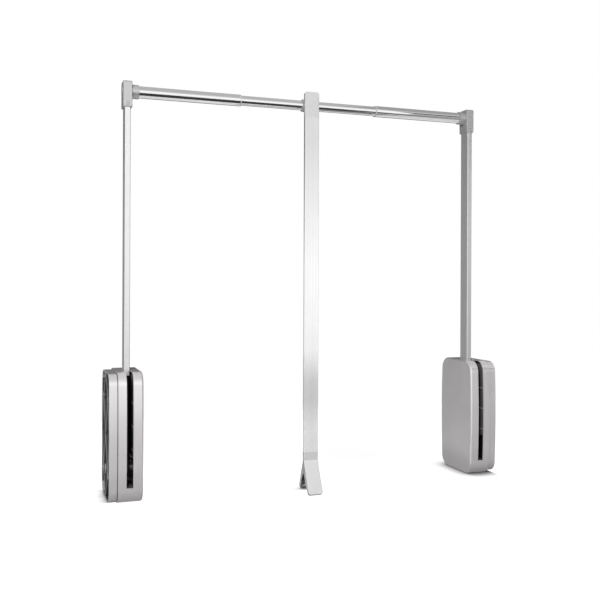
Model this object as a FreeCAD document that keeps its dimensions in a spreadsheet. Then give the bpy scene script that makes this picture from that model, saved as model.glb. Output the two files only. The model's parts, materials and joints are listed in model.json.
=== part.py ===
import FreeCAD, Part
import math
import os
import re
import Sketcher

# Pull-down wardrobe rail: two wall housings hold a pair of swinging arms, the arms carry a
# telescopic rail, and a bar with a forked handle hangs from the middle of the rail.
#
# Frame, in millimetres: X runs along the rail from the left wall to the right wall, +Y points
# into the wardrobe and +Z up. The origin is on the left wall face, on the axis of the arm's pivot.
# The left side is modelled and the right side is its mirror image.

SIZES = {
    # the whole
    "arm_span": 811.0,            # from one arm's centre to the other's
    "rail_height": 783.0,         # rail axis above the pivots
    "full_swing": 100.0,          # degrees from upright to pulled down
    # housing
    "housing_height": 265.0,
    "housing_depth": 140.0,
    "housing_barrel": 4.5,        # how far the long sides bulge
    "corner_radius": 27.0,
    "pivot_height": 62.0,         # pivot above the housing's underside
    "base_depth": 17.7,           # wall face to the seam
    "base_inset": 3.0,            # step between the shell and the base plate
    "base_wall": 2.2,
    "base_floor": 2.6,
    "base_rib": 2.0,
    "shell_outer": 23.5,          # seam to the arm's centre
    "shell_inner": 26.8,          # the arm's centre to the inner face
    "shell_wall": 2.5,
    "shell_edge": 4.0,
    "slot_width": 13.2,
    "slot_foot": 33.0,            # slot's lower end above the housing's underside
    "slot_rear": 1.8,             # slot behind the upright arm
    "lip_height": 5.0,
    "lip_wall": 1.6,
    # wall screws, a rectangle of four holes
    "mount_across": 76.0,
    "mount_up": 154.0,
    "mount_low": 7.0,             # lower pair below the pivot
    "mount_hole": 2.6,
    "mount_boss": 8.0,
    # channel that the arm swings in
    "channel_half": 8.5,
    "channel_wall": 1.5,
    "channel_foot": 28.0,
    "channel_drop": 8.0,          # channel's top below the housing's
    "channel_back": 29.0,
    "channel_rib_reach": 1.3,
    "channel_rib_tall": 2.4,
    "channel_rib_pitch": 48.0,
    "channel_rib_low": 42.0,
    "shelf_drop": 27.0,           # shelves below the housing's top
    "shelf_thick": 4.0,
    "shelf_reach": 9.0,           # shelf in front of its strut
    "fit_gap": 0.3,
    # pivot
    "pin_radius": 5.0,
    "pin_boss": 8.0,
    "running_gap": 0.05,
    "seat_gap": 0.02,
    "blind_wall": 3.0,
    "washer_radius": 7.0,
    # arm
    "arm_width": 12.0,
    "arm_depth": 31.2,
    "arm_wall": 1.2,
    "arm_edge": 1.5,
    "arm_head_drop": 14.2,        # arm's top end below the rail axis
    "hub_radius": 16.0,
    "foot_gap": 0.5,
    "tang_length": 44.0,
    "rivet_radius": 2.5,
    "rivet_low": 28.0,
    "rivet_pitch": 20.0,
    # crank and its carriages
    "crank_radius": 24.0,
    "crank_eye": 6.0,
    "crank_pin_radius": 3.5,
    "crank_pin_half": 21.5,
    "carriage_front": 9.0,
    "carriage_rear": 31.0,
    "carriage_half": 8.0,
    "carriage_slot": 4.8,         # half the height of the cross slot
    "carriage_slot_front": 11.5,
    "carriage_slot_rear": 28.0,
    "carriage_gap": 9.0,          # carriage's near face from the arm's centre
    "guide_rib": 2.0,
    "strut_y": 18.0,
    "spring_x": 17.5,
    "spring_radius": 6.0,
    "spring_wire": 1.6,
    "spring_turns": 15.0,
    "guide_radius": 3.4,
    "guide_room": 1.6,            # guide's foot above the raised carriage
    "guide_head": 5.4,
    "guide_head_tall": 2.0,
    "damper_x": 16.8,
    "damper_radius": 6.0,
    "damper_length": 114.0,
    "damper_bore": 94.0,
    "damper_stud": 12.0,
    "damper_rod": 2.5,
    "damper_overlap": 48.0,       # rod inside its body when drawn out
    "pusher_radius": 3.5,
    # rubber stops
    "stop_half": 5.0,
    "rest_stop_drop": 43.0,       # its foot below the housing's top
    "rest_stop_tall": 22.0,
    "down_stop_inset": 8.0,       # behind the housing's front
    "down_stop_length": 16.0,
    "down_stop_rise": 28.0,       # its seat above the housing's underside
    "ledge_thick": 4.0,
    # small screws
    "screw_radius": 1.5,
    "screw_head": 3.0,
    "screw_sink": 1.6,
    "shell_screw_x": 6.5,         # from the seam
    "shell_screw_drop": 53.0,     # below the housing's top
    "shell_screw_rise": 40.0,     # above its underside
    "lug_half": 6.0,
    "lug_length": 11.0,
    # corner head
    "head_width": 18.5,
    "head_depth": 35.0,
    "head_above": 19.5,
    "head_below": 35.5,
    "head_front_radius": 4.0,
    "head_rear_radius": 8.0,
    "head_foot_radius": 3.0,
    "head_edge": 1.2,
    "collar_radius": 14.75,
    "collar_end": 24.0,
    "tube_stop": 1.2,             # tube's end from the arm's centre
    "cap_radius": 8.5,
    "cap_proud": 1.4,
    "cap_edge": 0.9,
    "cap_sink": 1.5,
    "bolt_radius": 3.0,
    "bolt_head": 5.4,
    "bolt_head_tall": 3.6,
    "bolt_end": 15.0,
    "plug_end": 26.0,
    "head_screw_drop": 28.0,
    "head_screw_length": 6.0,
    # rail
    "tube_radius": 12.5,
    "tube_wall": 1.0,
    "tube_gap_half": 162.5,       # outer tube's end from the middle
    "inner_radius": 10.75,
    "inner_wall": 1.2,
    "inner_half": 207.5,
    "glide_length": 28.0,
    "glide_flange": 1.6,
    # pull bar
    "bar_width": 33.5,
    "bar_thick": 8.0,
    "bar_front": 19.0,            # bar's front face before the rail axis
    "bar_wall": 1.5,
    "bar_edge": 1.0,
    "bar_foot": 7.5,              # bar's lower end above the pivots
    "bar_head_half": 28.0,
    "bar_head_corner": 6.0,
    "sleeve_radius": 13.75,
    "sleeve_half": 17.5,
    "tongue_length": 30.0,
    "tongue_gap": 0.2,
    "bar_screw_drop": 42.0,
    "bar_screw_rise": 14.0,       # lower screw above the bar's end
    # handle
    "handle_neck": 12.0,          # end of the straight neck below the pivots
    "handle_fork": 38.0,          # fork's root below the pivots
    "front_leg_foot": 79.0,       # outer end of the front leg below the pivots
    "front_leg_reach": 38.0,      # and before the bar's middle
    "rear_leg_foot": 75.0,
    "rear_leg_reach": 30.0,
    "leg_thick": 8.0,
    "leg_skin": 2.2,
    "leg_root": 0.5,              # recess from this share of the leg
    "leg_tail": 0.9,              # to this share
    "handle_bend": 12.0,
    "handle_corner": 5.0,
    "handle_edge": 1.4,
}

PLACES = {
    "arm_x": "base_depth + shell_outer",
    "overall": "2 * arm_x + arm_span",
    "middle_x": "overall / 2",
    "shell_end": "arm_x + shell_inner",
    "top_z": "housing_height - pivot_height",
    "bottom_z": "-pivot_height",
    "mid_z": "(top_z + bottom_z) / 2",
    "barrel_radius": "housing_height * housing_height / (8 * housing_barrel) + housing_barrel / 2",
    "slot_low": "slot_foot - pivot_height",
    "channel_top": "top_z - channel_drop",
    "shelf_height": "top_z - shelf_drop",
    "shell_screw_high": "top_z - shell_screw_drop",
    "shell_screw_low": "bottom_z + shell_screw_rise",
    "rest_stop_low": "top_z - rest_stop_drop",
    "down_stop_front": "housing_depth / 2 - down_stop_inset",
    "down_stop_rear": "down_stop_front - down_stop_length",
    "down_stop_seat": "bottom_z + down_stop_rise",
    "mount_mid": "mount_up / 2 - mount_low",
    "channel_out": "channel_half + channel_wall",
    "inner_room": "shell_inner - shell_wall",
    "crank_start": "90 + full_swing / 2",
    "crank_y": "crank_radius * sin(crank_start * 1deg)",
    "crank_z": "crank_radius * cos(crank_start * 1deg)",
    "arm_foot_z": "hub_radius + foot_gap",
    "arm_top_z": "rail_height - arm_head_drop",
    "tang_width": "arm_width - 2 * arm_wall - 2 * running_gap",
    "tang_depth": "arm_depth - 2 * arm_wall - 2 * running_gap",
    "carriage_low": "crank_z - carriage_half",
    "carriage_high": "crank_z + carriage_half",
    "carriage_stroke": "2 * crank_radius * sin(full_swing / 2 * 1deg)",
    "guide_foot": "carriage_high + carriage_half + carriage_stroke + guide_room",
    "damper_foot": "shelf_height - damper_length",
    "damper_rod_top": "damper_foot + damper_overlap",
    "head_screw_z": "rail_height - head_screw_drop",
    "bar_rear": "bar_front - bar_thick",
    "bar_mid": "bar_front - bar_thick / 2",
    "bar_top": "rail_height - bar_head_half",
    "tongue_half": "bar_width / 2 - bar_wall - tongue_gap",
    "tongue_thick": "bar_thick / 2 - bar_wall - tongue_gap",
    "upper_screw": "rail_height - bar_screw_drop",
    "lower_screw": "bar_foot + bar_screw_rise",
}

document = FreeCAD.newDocument("PullDownRail")
sheet = document.addObject("Spreadsheet::Sheet", "Sizes")
for row, (alias, amount) in enumerate(SIZES.items(), start=1):
    sheet.set("A%d" % row, alias)
    sheet.set("B%d" % row, str(amount))
    sheet.setAlias("B%d" % row, alias)
document.recompute()

nodes = []


# ---- expressions ----------------------------------------------------------------------------

def bound(text):
    """Write each size as its sheet cell and each derived place as its own sum."""
    def swap(match):
        word = match.group(0)
        if word in SIZES:
            return "Sizes." + word
        if word in PLACES:
            return "(" + bound(PLACES[word]) + ")"
        return word
    return re.sub(r"[a-z][a-z_]*", swap, str(text))


def number(text):
    """The value of an expression as a plain number."""
    found = sheet.evalExpression(bound(text))
    return float(getattr(found, "Value", found))


def bind(thing, path, text):
    thing.setExpression(path, bound(text))


# ---- sketches -------------------------------------------------------------------------------

def new_body(label):
    body = document.addObject("PartDesign::Body", label)
    body.Label = label
    return body


def sketch_on(body, role, offset="0"):
    """A sketch on one of the body's own origin planes, moved along its normal."""
    plane = [item for item in body.Origin.OriginFeatures if item.Role == role][0]
    sketch = body.newObject("Sketcher::SketchObject", body.Name + "_sketch")
    sketch.AttachmentSupport = [(plane, "")]
    sketch.MapMode = "FlatFace"
    bind(sketch, ".AttachmentOffset.Base.z", offset)
    return sketch


def hold(sketch, constraint, text):
    """Add a dimension whose value is an expression."""
    index = sketch.addConstraint(constraint)
    name = "size%d" % index
    sketch.renameConstraint(index, name)
    bind(sketch, ".Constraints." + name, text)


def place_point(sketch, geometry, vertex, across, up):
    """Fix one point of the geometry at (across, up) from the sketch's origin."""
    for kind, text in (("DistanceX", across), ("DistanceY", up)):
        hold(sketch, Sketcher.Constraint(kind, -1, 1, geometry, vertex, number(text)), text)


def polygon(sketch, corners):
    """A closed straight-sided outline through corners given as expressions."""
    points = [FreeCAD.Vector(number(a), number(b), 0) for a, b in corners]
    first = sketch.GeometryCount
    for index, point in enumerate(points):
        sketch.addGeometry(Part.LineSegment(point, points[(index + 1) % len(points)]), False)
    for index in range(len(points)):
        following = first + (index + 1) % len(points)
        sketch.addConstraint(Sketcher.Constraint("Coincident", first + index, 2, following, 1))
    for index, (across, up) in enumerate(corners):
        place_point(sketch, first + index, 1, across, up)


def rectangle(sketch, left, right, low, high):
    polygon(sketch, [(left, low), (right, low), (right, high), (left, high)])


def circle(sketch, across, up, radius):
    centre = FreeCAD.Vector(number(across), number(up), 0)
    index = sketch.addGeometry(Part.Circle(centre, FreeCAD.Vector(0, 0, 1), number(radius)), False)
    place_point(sketch, index, 3, across, up)
    hold(sketch, Sketcher.Constraint("Radius", index, number(radius)), radius)


def arc_about(centre, radius, start, end):
    full = Part.Circle(centre, FreeCAD.Vector(0, 0, 1), radius)
    return Part.ArcOfCircle(full, start, end)


def housing_outline(sketch, inset):
    """The housing's side outline: two bulging long sides, flat ends and round corners."""
    side_text = "barrel_radius - (%s)" % inset
    corner_text = "corner_radius - (%s)" % inset
    centre_text = "barrel_radius - housing_depth / 2"
    high_text = "top_z - (%s)" % inset
    low_text = "bottom_z + (%s)" % inset
    side, corner, centre = number(side_text), number(corner_text), number(centre_text)
    high, low, middle = number(high_text), number(low_text), number("mid_z")
    rise = high - corner - middle
    reach = math.sqrt((side - corner) ** 2 - rise ** 2)
    across = reach - centre
    lean = math.atan2(rise, reach)
    half = math.pi / 2
    vector = FreeCAD.Vector
    corners = (
        (vector(across, high - corner, 0), lean, half),
        (vector(-across, high - corner, 0), half, math.pi - lean),
        (vector(-across, low + corner, 0), math.pi + lean, 3 * half),
        (vector(across, low + corner, 0), 3 * half, 2 * math.pi - lean),
    )
    loop = [
        arc_about(vector(-centre, middle, 0), side, -lean, lean),
        arc_about(corners[0][0], corner, corners[0][1], corners[0][2]),
        Part.LineSegment(vector(across, high, 0), vector(-across, high, 0)),
        arc_about(corners[1][0], corner, corners[1][1], corners[1][2]),
        arc_about(vector(centre, middle, 0), side, math.pi - lean, math.pi + lean),
        arc_about(corners[2][0], corner, corners[2][1], corners[2][2]),
        Part.LineSegment(vector(-across, low, 0), vector(across, low, 0)),
        arc_about(corners[3][0], corner, corners[3][1], corners[3][2]),
    ]
    first = sketch.GeometryCount
    for item in loop:
        sketch.addGeometry(item, False)
    for index in range(8):
        after = first + (index + 1) % 8
        sketch.addConstraint(Sketcher.Constraint("Tangent", first + index, 2, after, 1))
    for index, text in ((2, high_text), (6, low_text)):
        sketch.addConstraint(Sketcher.Constraint("Horizontal", first + index))
        hold(sketch, Sketcher.Constraint("DistanceY", -1, 1, first + index, 1, number(text)), text)
    for index in (1, 3, 5, 7):
        hold(sketch, Sketcher.Constraint("Radius", first + index, corner), corner_text)
    for index, sign in ((0, "-"), (4, "")):
        hold(sketch, Sketcher.Constraint("Radius", first + index, side), side_text)
        place_point(sketch, first + index, 3, "%s(%s)" % (sign, centre_text), "mid_z")


# ---- features -------------------------------------------------------------------------------

def pad(body, sketch, length):
    feature = body.newObject("PartDesign::Pad", body.Name + "_pad")
    feature.Profile = sketch
    bind(feature, "Length", length)
    document.recompute()
    return feature


def pocket(body, sketch, length, forward=True):
    """Cut along the sketch's normal, or against it, and make sure that something was cut."""
    before = body.Shape.Volume
    feature = body.newObject("PartDesign::Pocket", body.Name + "_pocket")
    feature.Profile = sketch
    feature.Reversed = forward
    bind(feature, "Length", length)
    document.recompute()
    if body.Shape.Volume >= before - 0.01:
        raise RuntimeError(feature.Name + " cuts nothing")
    return feature


def fillet(body, test, radius):
    """Round the edges of the body that pass the test."""
    base = body.Tip
    picked = [edge for edge in enumerate(base.Shape.Edges, start=1) if test(edge[1])]
    feature = body.newObject("PartDesign::Fillet", body.Name + "_fillet")
    feature.Base = (base, ["Edge%d" % index for index, edge in picked])
    bind(feature, "Radius", radius)
    document.recompute()
    return feature


def near(value, text):
    return abs(value - number(text)) < 0.01


def at_x(edge, text):
    return all(near(vertex.X, text) for vertex in edge.Vertexes)


def along(edge, axis):
    """Whether a straight edge runs along the given axis."""
    if edge.Curve.TypeId != "Part::GeomLine":
        return False
    return abs(edge.tangentAt(edge.FirstParameter).dot(axis)) > 0.999


ALONG_X = FreeCAD.Vector(1, 0, 0)
ALONG_Y = FreeCAD.Vector(0, 1, 0)
ALONG_Z = FreeCAD.Vector(0, 0, 1)
TURNS = {
    "x": FreeCAD.Rotation(ALONG_Y, 90),
    "y": FreeCAD.Rotation(ALONG_X, -90),
    "z": FreeCAD.Rotation(),
}


def put(thing, x, y, z):
    for letter, text in zip("xyz", (x, y, z)):
        bind(thing, ".Placement.Base." + letter, text)


def rod(name, axis, x, y, z, radius, length):
    """A round bar from (x, y, z) towards the positive end of the axis."""
    thing = document.addObject("Part::Cylinder", name)
    thing.Placement.Rotation = TURNS[axis]
    bind(thing, "Radius", radius)
    bind(thing, "Height", length)
    put(thing, x, y, z)
    return thing


def cone(name, axis, x, y, z, start, end, length):
    thing = document.addObject("Part::Cone", name)
    thing.Placement.Rotation = TURNS[axis]
    bind(thing, "Radius1", start)
    bind(thing, "Radius2", end)
    bind(thing, "Height", length)
    put(thing, x, y, z)
    return thing


def block(name, left, right, front, rear, low, high):
    thing = document.addObject("Part::Box", name)
    bind(thing, "Length", "(%s) - (%s)" % (right, left))
    bind(thing, "Width", "(%s) - (%s)" % (rear, front))
    bind(thing, "Height", "(%s) - (%s)" % (high, low))
    put(thing, left, front, low)
    return thing


def fuse(label, *things):
    joined = document.addObject("Part::MultiFuse", label)
    joined.Shapes = list(things)
    joined.Refine = True
    document.recompute()
    return joined


def cut(label, base, tool):
    """What is left of the base; the tool has to take something away."""
    rest = document.addObject("Part::Cut", label)
    rest.Base = base
    rest.Tool = tool
    rest.Refine = True
    document.recompute()
    if rest.Shape.Volume >= base.Shape.Volume - 0.01:
        raise RuntimeError(label + " cuts nothing")
    return rest


def common(label, base, tool):
    shared = document.addObject("Part::Common", label)
    shared.Base = base
    shared.Tool = tool
    shared.Refine = True
    document.recompute()
    return shared


def node(thing):
    """Keep an object as one piece of the product, under its own label."""
    nodes.append(thing)
    return thing


# ---- wall housing ---------------------------------------------------------------------------

MOUNTS = [("%smount_across / 2" % side, height)
          for side in ("-", "") for height in ("mount_up - mount_low", "-mount_low")]
SEAM_SCREWS = ("shell_screw_high", "shell_screw_low")


def side_reach(height, inset):
    """How far the bulging side stands from the middle plane at a height."""
    return ("sqrt((barrel_radius - (%s))^2 - ((%s) - mid_z)^2) - barrel_radius + housing_depth / 2"
            % (inset, height))


def rib_corners(start, end):
    """The four corners of a thin rib between two points, each an (across, up) pair."""
    (y1, z1), (y2, z2) = start, end
    run = "((%s) - (%s))" % (y2, y1)
    rise = "((%s) - (%s))" % (z2, z1)
    share = "base_rib / 2 / sqrt(%s^2 + %s^2)" % (run, rise)
    corners = []
    for (y, z), sign in ((start, "+"), (end, "+"), (end, "-"), (start, "-")):
        opposite = "-" if sign == "+" else "+"
        corners.append(("(%s) %s %s * %s" % (y, sign, rise, share),
                        "(%s) %s %s * %s" % (z, opposite, run, share)))
    return corners


def base_plate():
    """Ribbed moulding against the wall, open to the wall side, with a lip for the shell."""
    body = new_body("left_base_plate")
    hollow = "base_depth - base_floor"
    outline = sketch_on(body, "YZ_Plane")
    housing_outline(outline, "base_inset")
    pad(body, outline, "base_depth")
    tray = sketch_on(body, "YZ_Plane")
    housing_outline(tray, "base_inset + base_wall")
    pocket(body, tray, hollow)

    edge = "housing_depth / 2 - base_inset - base_wall / 2 - housing_barrel"
    upper, lower = "mount_up - mount_low", "-mount_low"
    wide = "mount_across / 2"
    crown = ("0", "top_z - base_inset - base_wall / 2")
    keel = ("0", "bottom_z + base_inset + base_wall / 2")
    spans = [
        (("-" + wide, upper), (wide, lower)),
        ((wide, upper), ("-" + wide, lower)),
    ]
    for side in ("-", ""):
        corner_high, corner_low = (side + wide, upper), (side + wide, lower)
        waist = ("%s(%s + housing_barrel)" % (side, edge), "mount_mid")
        spans += [
            (corner_high, crown),
            (corner_low, keel),
            (corner_high, waist),
            (corner_low, waist),
            (corner_high, ("%s(%s)" % (side, edge), upper)),
            (corner_low, ("%s(%s)" % (side, edge), lower)),
        ]
    for start, end in spans:
        rib = sketch_on(body, "YZ_Plane")
        polygon(rib, rib_corners(start, end))
        pad(body, rib, hollow)

    bosses = sketch_on(body, "YZ_Plane")
    for across, up in MOUNTS:
        circle(bosses, across, up, "mount_boss")
    circle(bosses, "0", "0", "pin_boss + base_rib")
    pad(body, bosses, "base_depth")

    lip = sketch_on(body, "YZ_Plane", "base_depth - base_floor")
    housing_outline(lip, "shell_wall + fit_gap")
    housing_outline(lip, "shell_wall + fit_gap + lip_wall")
    pad(body, lip, "base_floor + lip_height")

    for height in SEAM_SCREWS:
        lug = sketch_on(body, "YZ_Plane", "base_depth - base_floor")
        rear = lug_rear(height)
        rectangle(lug, rear + " - lug_length", rear,
                  "%s - lug_half" % height, "%s + lug_half" % height)
        pad(body, lug, "base_floor + 2 * shell_screw_x")
        hole = sketch_on(body, "XZ_Plane", "-(%s) - fit_gap" % rear)
        circle(hole, "base_depth + shell_screw_x", height, "screw_radius + seat_gap")
        pocket(body, hole, "lug_length")

    inward = sketch_on(body, "YZ_Plane", "base_depth - base_floor")
    circle(inward, "0", "0", "pin_boss")
    pad(body, inward, "shell_outer - channel_half + base_floor")
    guide = sketch_on(body, "YZ_Plane", "base_depth - base_floor")
    guide_outline(guide)
    pad(body, guide, "shell_outer - carriage_gap + base_floor")

    socket = sketch_on(body, "YZ_Plane", "blind_wall")
    circle(socket, "0", "0", "pin_radius + seat_gap")
    pocket(body, socket, "arm_x")
    holes = sketch_on(body, "YZ_Plane")
    for across, up in MOUNTS:
        circle(holes, across, up, "mount_hole")
    pocket(body, holes, "base_depth")
    node(body)


def lug_rear(height):
    """Rear face of a screw lug: just inside the shell at the lug's end that lies lowest."""
    far = "%s %s lug_half" % (height, "+" if number(height) > number("mid_z") else "-")
    return side_reach(far, "shell_wall + fit_gap")


def guide_outline(sketch):
    """Section of the rib that the carriage slides along."""
    rectangle(sketch, "carriage_rear + fit_gap", "carriage_rear + fit_gap + guide_rib",
              "carriage_low - carriage_half", "channel_foot")


def housing_shell():
    """Cover over the mechanism, slotted from behind the arm down its front."""
    body = new_body("left_housing_shell")
    outline = sketch_on(body, "YZ_Plane", "base_depth")
    housing_outline(outline, "0")
    pad(body, outline, "shell_outer + shell_inner")
    fillet(body, lambda edge: at_x(edge, "shell_end"), "shell_edge")
    hollow = sketch_on(body, "YZ_Plane", "base_depth")
    housing_outline(hollow, "shell_wall")
    pocket(body, hollow, "shell_outer + inner_room")

    slot = sketch_on(body, "YZ_Plane", "arm_x - slot_width / 2")
    rectangle(slot, "-housing_depth", "arm_depth / 2 + slot_rear", "slot_low",
              "top_z + slot_width")
    pocket(body, slot, "slot_width")

    boss = sketch_on(body, "YZ_Plane", "arm_x + channel_half")
    circle(boss, "0", "0", "pin_boss")
    pad(body, boss, "inner_room - channel_half")
    guide = sketch_on(body, "YZ_Plane", "arm_x + carriage_gap")
    guide_outline(guide)
    pad(body, guide, "inner_room - carriage_gap")
    ledge = sketch_on(body, "YZ_Plane", "arm_x - slot_width / 2")
    front = "-(%s)" % side_reach("down_stop_seat - ledge_thick", "shell_wall / 2")
    rectangle(ledge, front, "-(down_stop_rear)", "down_stop_seat - ledge_thick", "down_stop_seat")
    pad(body, ledge, "slot_width / 2 + inner_room")

    socket = sketch_on(body, "YZ_Plane", "arm_x")
    circle(socket, "0", "0", "pin_radius + seat_gap")
    pocket(body, socket, "inner_room - seat_gap")
    for height in SEAM_SCREWS:
        hole = sketch_on(body, "XZ_Plane", "-housing_depth / 2")
        circle(hole, "base_depth + shell_screw_x", height, "screw_radius + seat_gap")
        pocket(body, hole, "lug_length")
    sinks = []
    for height in SEAM_SCREWS:
        rear = side_reach(height, "0")
        sinks.append(cone("left_shell_sink", "y", "base_depth + shell_screw_x",
                          rear + " - screw_sink - 3 * seat_gap", height,
                          "screw_radius + 2 * seat_gap", "screw_head + 4 * seat_gap",
                          "screw_sink + 3 * seat_gap"))
    node(cut("left_housing_cover", body, fuse("left_shell_sinks", *sinks)))


def seam_screws():
    """Two countersunk screws through the cover's rear side into the base plate's lugs."""
    screws = []
    for height in SEAM_SCREWS:
        rear = side_reach(height, "0")
        x = "base_depth + shell_screw_x"
        shank = rod("left_seam_shank", "y", x, rear + " - lug_length", height,
                    "screw_radius", "lug_length")
        head = cone("left_seam_head", "y", x, rear + " - screw_sink - 2 * seat_gap", height,
                    "screw_radius", "screw_head", "screw_sink")
        screws += [shank, head]
    node(fuse("left_seam_screws", *screws))


def channel():
    """Moulded channel that the arm swings in, with ledged walls and a shelf on each side."""
    block_body = new_body("left_channel_blank")
    wide = "channel_out"
    section = sketch_on(block_body, "XY_Plane", "channel_foot")
    front, back = "-housing_depth / 2", "channel_back"
    polygon(section, [
        ("arm_x - " + wide, front), ("arm_x - channel_half", front),
        ("arm_x - channel_half", back), ("arm_x + channel_half", back),
        ("arm_x + channel_half", front), ("arm_x + " + wide, front),
        ("arm_x + " + wide, back + " + channel_wall"),
        ("arm_x - " + wide, back + " + channel_wall"),
    ])
    pad(block_body, section, "channel_top - channel_foot")
    for step in range(3):
        for side in ("-", "+"):
            ledge = sketch_on(block_body, "XY_Plane",
                              "channel_rib_low + %d * channel_rib_pitch" % step)
            near_face = "arm_x %s (channel_half - channel_rib_reach)" % side
            far_face = "arm_x %s (channel_half + channel_wall / 2)" % side
            if side == "-":
                near_face, far_face = far_face, near_face
            rectangle(ledge, near_face, far_face, front, "-arm_depth / 2")
            pad(block_body, ledge, "channel_rib_tall")
    struts = (("arm_x + channel_half", "arm_x + inner_room - fit_gap", "arm_x + spring_x",
               "guide_radius"),
              ("arm_x - shell_outer + fit_gap", "arm_x - channel_half", "arm_x - damper_x",
               "damper_rod"))
    for left, right, centre, radius in struts:
        shelf = sketch_on(block_body, "XY_Plane", "shelf_height")
        rectangle(shelf, left, right, "strut_y - shelf_reach", "channel_back")
        pad(block_body, shelf, "shelf_thick")
        hole = sketch_on(block_body, "XY_Plane", "shelf_height")
        circle(hole, centre, "strut_y", radius + " + seat_gap")
        pocket(block_body, hole, "shelf_thick")
    envelope = new_body("left_channel_envelope")
    outline = sketch_on(envelope, "YZ_Plane", "base_depth")
    housing_outline(outline, "shell_wall + fit_gap")
    pad(envelope, outline, "shell_outer + shell_inner")
    node(common("left_channel", block_body, envelope))


# ---- pivot, arm and crank -------------------------------------------------------------------

def pivot():
    """Fixed pivot pin and the two washers beside the arm's hub."""
    start = "blind_wall + seat_gap"
    end = "arm_x + inner_room - 2 * seat_gap"
    node(rod("left_pivot_pin", "x", start, "0", "0", "pin_radius", "%s - (%s)" % (end, start)))
    washers = []
    thick = "(channel_half - arm_width / 2 - 2 * running_gap)"
    for place in ("arm_x - channel_half + running_gap / 2",
                  "arm_x + channel_half - running_gap / 2 - " + thick):
        disc = rod("left_washer_disc", "x", place, "0", "0", "washer_radius", thick)
        bore = rod("left_washer_bore", "x", place, "0", "0", "pin_radius + running_gap", thick)
        washers.append(cut("left_washer", disc, bore))
    node(fuse("left_pivot_washers", *washers))


def arm_foot():
    """Pivot hub with the tang that fills the arm's end and the crank lever behind it."""
    half = "arm_width / 2"
    hub = rod("left_hub", "x", "arm_x - " + half, "0", "0", "hub_radius", "arm_width")
    eye = rod("left_eye", "x", "arm_x - " + half, "crank_y", "crank_z", "crank_eye", "arm_width")
    lever = document.addObject("Part::Box", "left_lever")
    bind(lever, "Length", "arm_width")
    bind(lever, "Width", "2 * crank_eye")
    bind(lever, "Height", "crank_radius")
    lever.Placement.Rotation = FreeCAD.Rotation(ALONG_X, -number("crank_start"))
    put(lever, "arm_x - " + half, "-crank_eye * cos(crank_start * 1deg)",
        "crank_eye * sin(crank_start * 1deg)")
    tang = block("left_tang", "arm_x - tang_width / 2", "arm_x + tang_width / 2",
                 "-tang_depth / 2", "tang_depth / 2", "0", "hub_radius + tang_length")
    solid = fuse("left_foot_blank", hub, eye, lever, tang)
    holes = [
        rod("left_foot_bore", "x", "0", "0", "0", "pin_radius + running_gap", "2 * arm_x"),
        rod("left_eye_bore", "x", "0", "crank_y", "crank_z",
            "crank_pin_radius + seat_gap", "2 * arm_x"),
    ]
    for step in range(2):
        holes.append(rod("left_rivet_hole", "x", "0", "0",
                         "rivet_low + %d * rivet_pitch" % step, "rivet_radius + seat_gap",
                         "2 * arm_x"))
    node(cut("left_arm_foot", solid, fuse("left_foot_holes", *holes)))
    node(rod("left_crank_pin", "x", "arm_x - crank_pin_half", "crank_y", "crank_z",
             "crank_pin_radius", "2 * crank_pin_half"))
    rivets = [rod("left_rivet", "x", "arm_x - " + half, "0",
                  "rivet_low + %d * rivet_pitch" % step, "rivet_radius", "arm_width")
              for step in range(2)]
    node(fuse("left_arm_rivets", *rivets))


def arm_tube():
    body = new_body("left_arm")
    outside = sketch_on(body, "XY_Plane", "arm_foot_z")
    rectangle(outside, "arm_x - arm_width / 2", "arm_x + arm_width / 2",
              "-arm_depth / 2", "arm_depth / 2")
    pad(body, outside, "arm_top_z - (arm_foot_z)")
    fillet(body, lambda edge: along(edge, ALONG_Z), "arm_edge")
    inside = sketch_on(body, "XY_Plane", "arm_foot_z")
    rectangle(inside, "arm_x - arm_width / 2 + arm_wall", "arm_x + arm_width / 2 - arm_wall",
              "-arm_depth / 2 + arm_wall", "arm_depth / 2 - arm_wall")
    pocket(body, inside, "arm_top_z")
    holes = sketch_on(body, "YZ_Plane")
    for step in range(2):
        circle(holes, "0", "rivet_low + %d * rivet_pitch" % step, "rivet_radius + seat_gap")
    pocket(body, holes, "2 * arm_x")
    screw = sketch_on(body, "XZ_Plane")
    circle(screw, "arm_x", "head_screw_z", "screw_radius + seat_gap")
    pocket(body, screw, "arm_depth")
    node(body)


# ---- spring and damper ----------------------------------------------------------------------

def carriage(label, near_x, far_x, strut_x, strut_radius, strut_end):
    """Slotted yoke that the crank pin lifts, with the seat of its spring or damper on top."""
    body = new_body(label)
    side = sketch_on(body, "YZ_Plane", near_x)
    rectangle(side, "carriage_front", "carriage_rear", "carriage_low", "carriage_high")
    rectangle(side, "carriage_slot_front", "carriage_slot_rear",
              "crank_z - carriage_slot", "crank_z + carriage_slot")
    pad(body, side, "(%s) - (%s)" % (far_x, near_x))
    top = sketch_on(body, "XY_Plane", "carriage_high")
    circle(top, strut_x, "strut_y", strut_radius)
    pad(body, top, strut_end)
    node(body)


def carriages():
    carriage("left_spring_carriage", "arm_x + carriage_gap", "arm_x + inner_room - 2 * fit_gap",
             "arm_x + spring_x", "guide_radius", "carriage_half - running_gap")
    carriage("left_damper_carriage", "arm_x - shell_outer + 2 * fit_gap", "arm_x - carriage_gap",
             "arm_x - damper_x", "pusher_radius", "carriage_half / 2")


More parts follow.
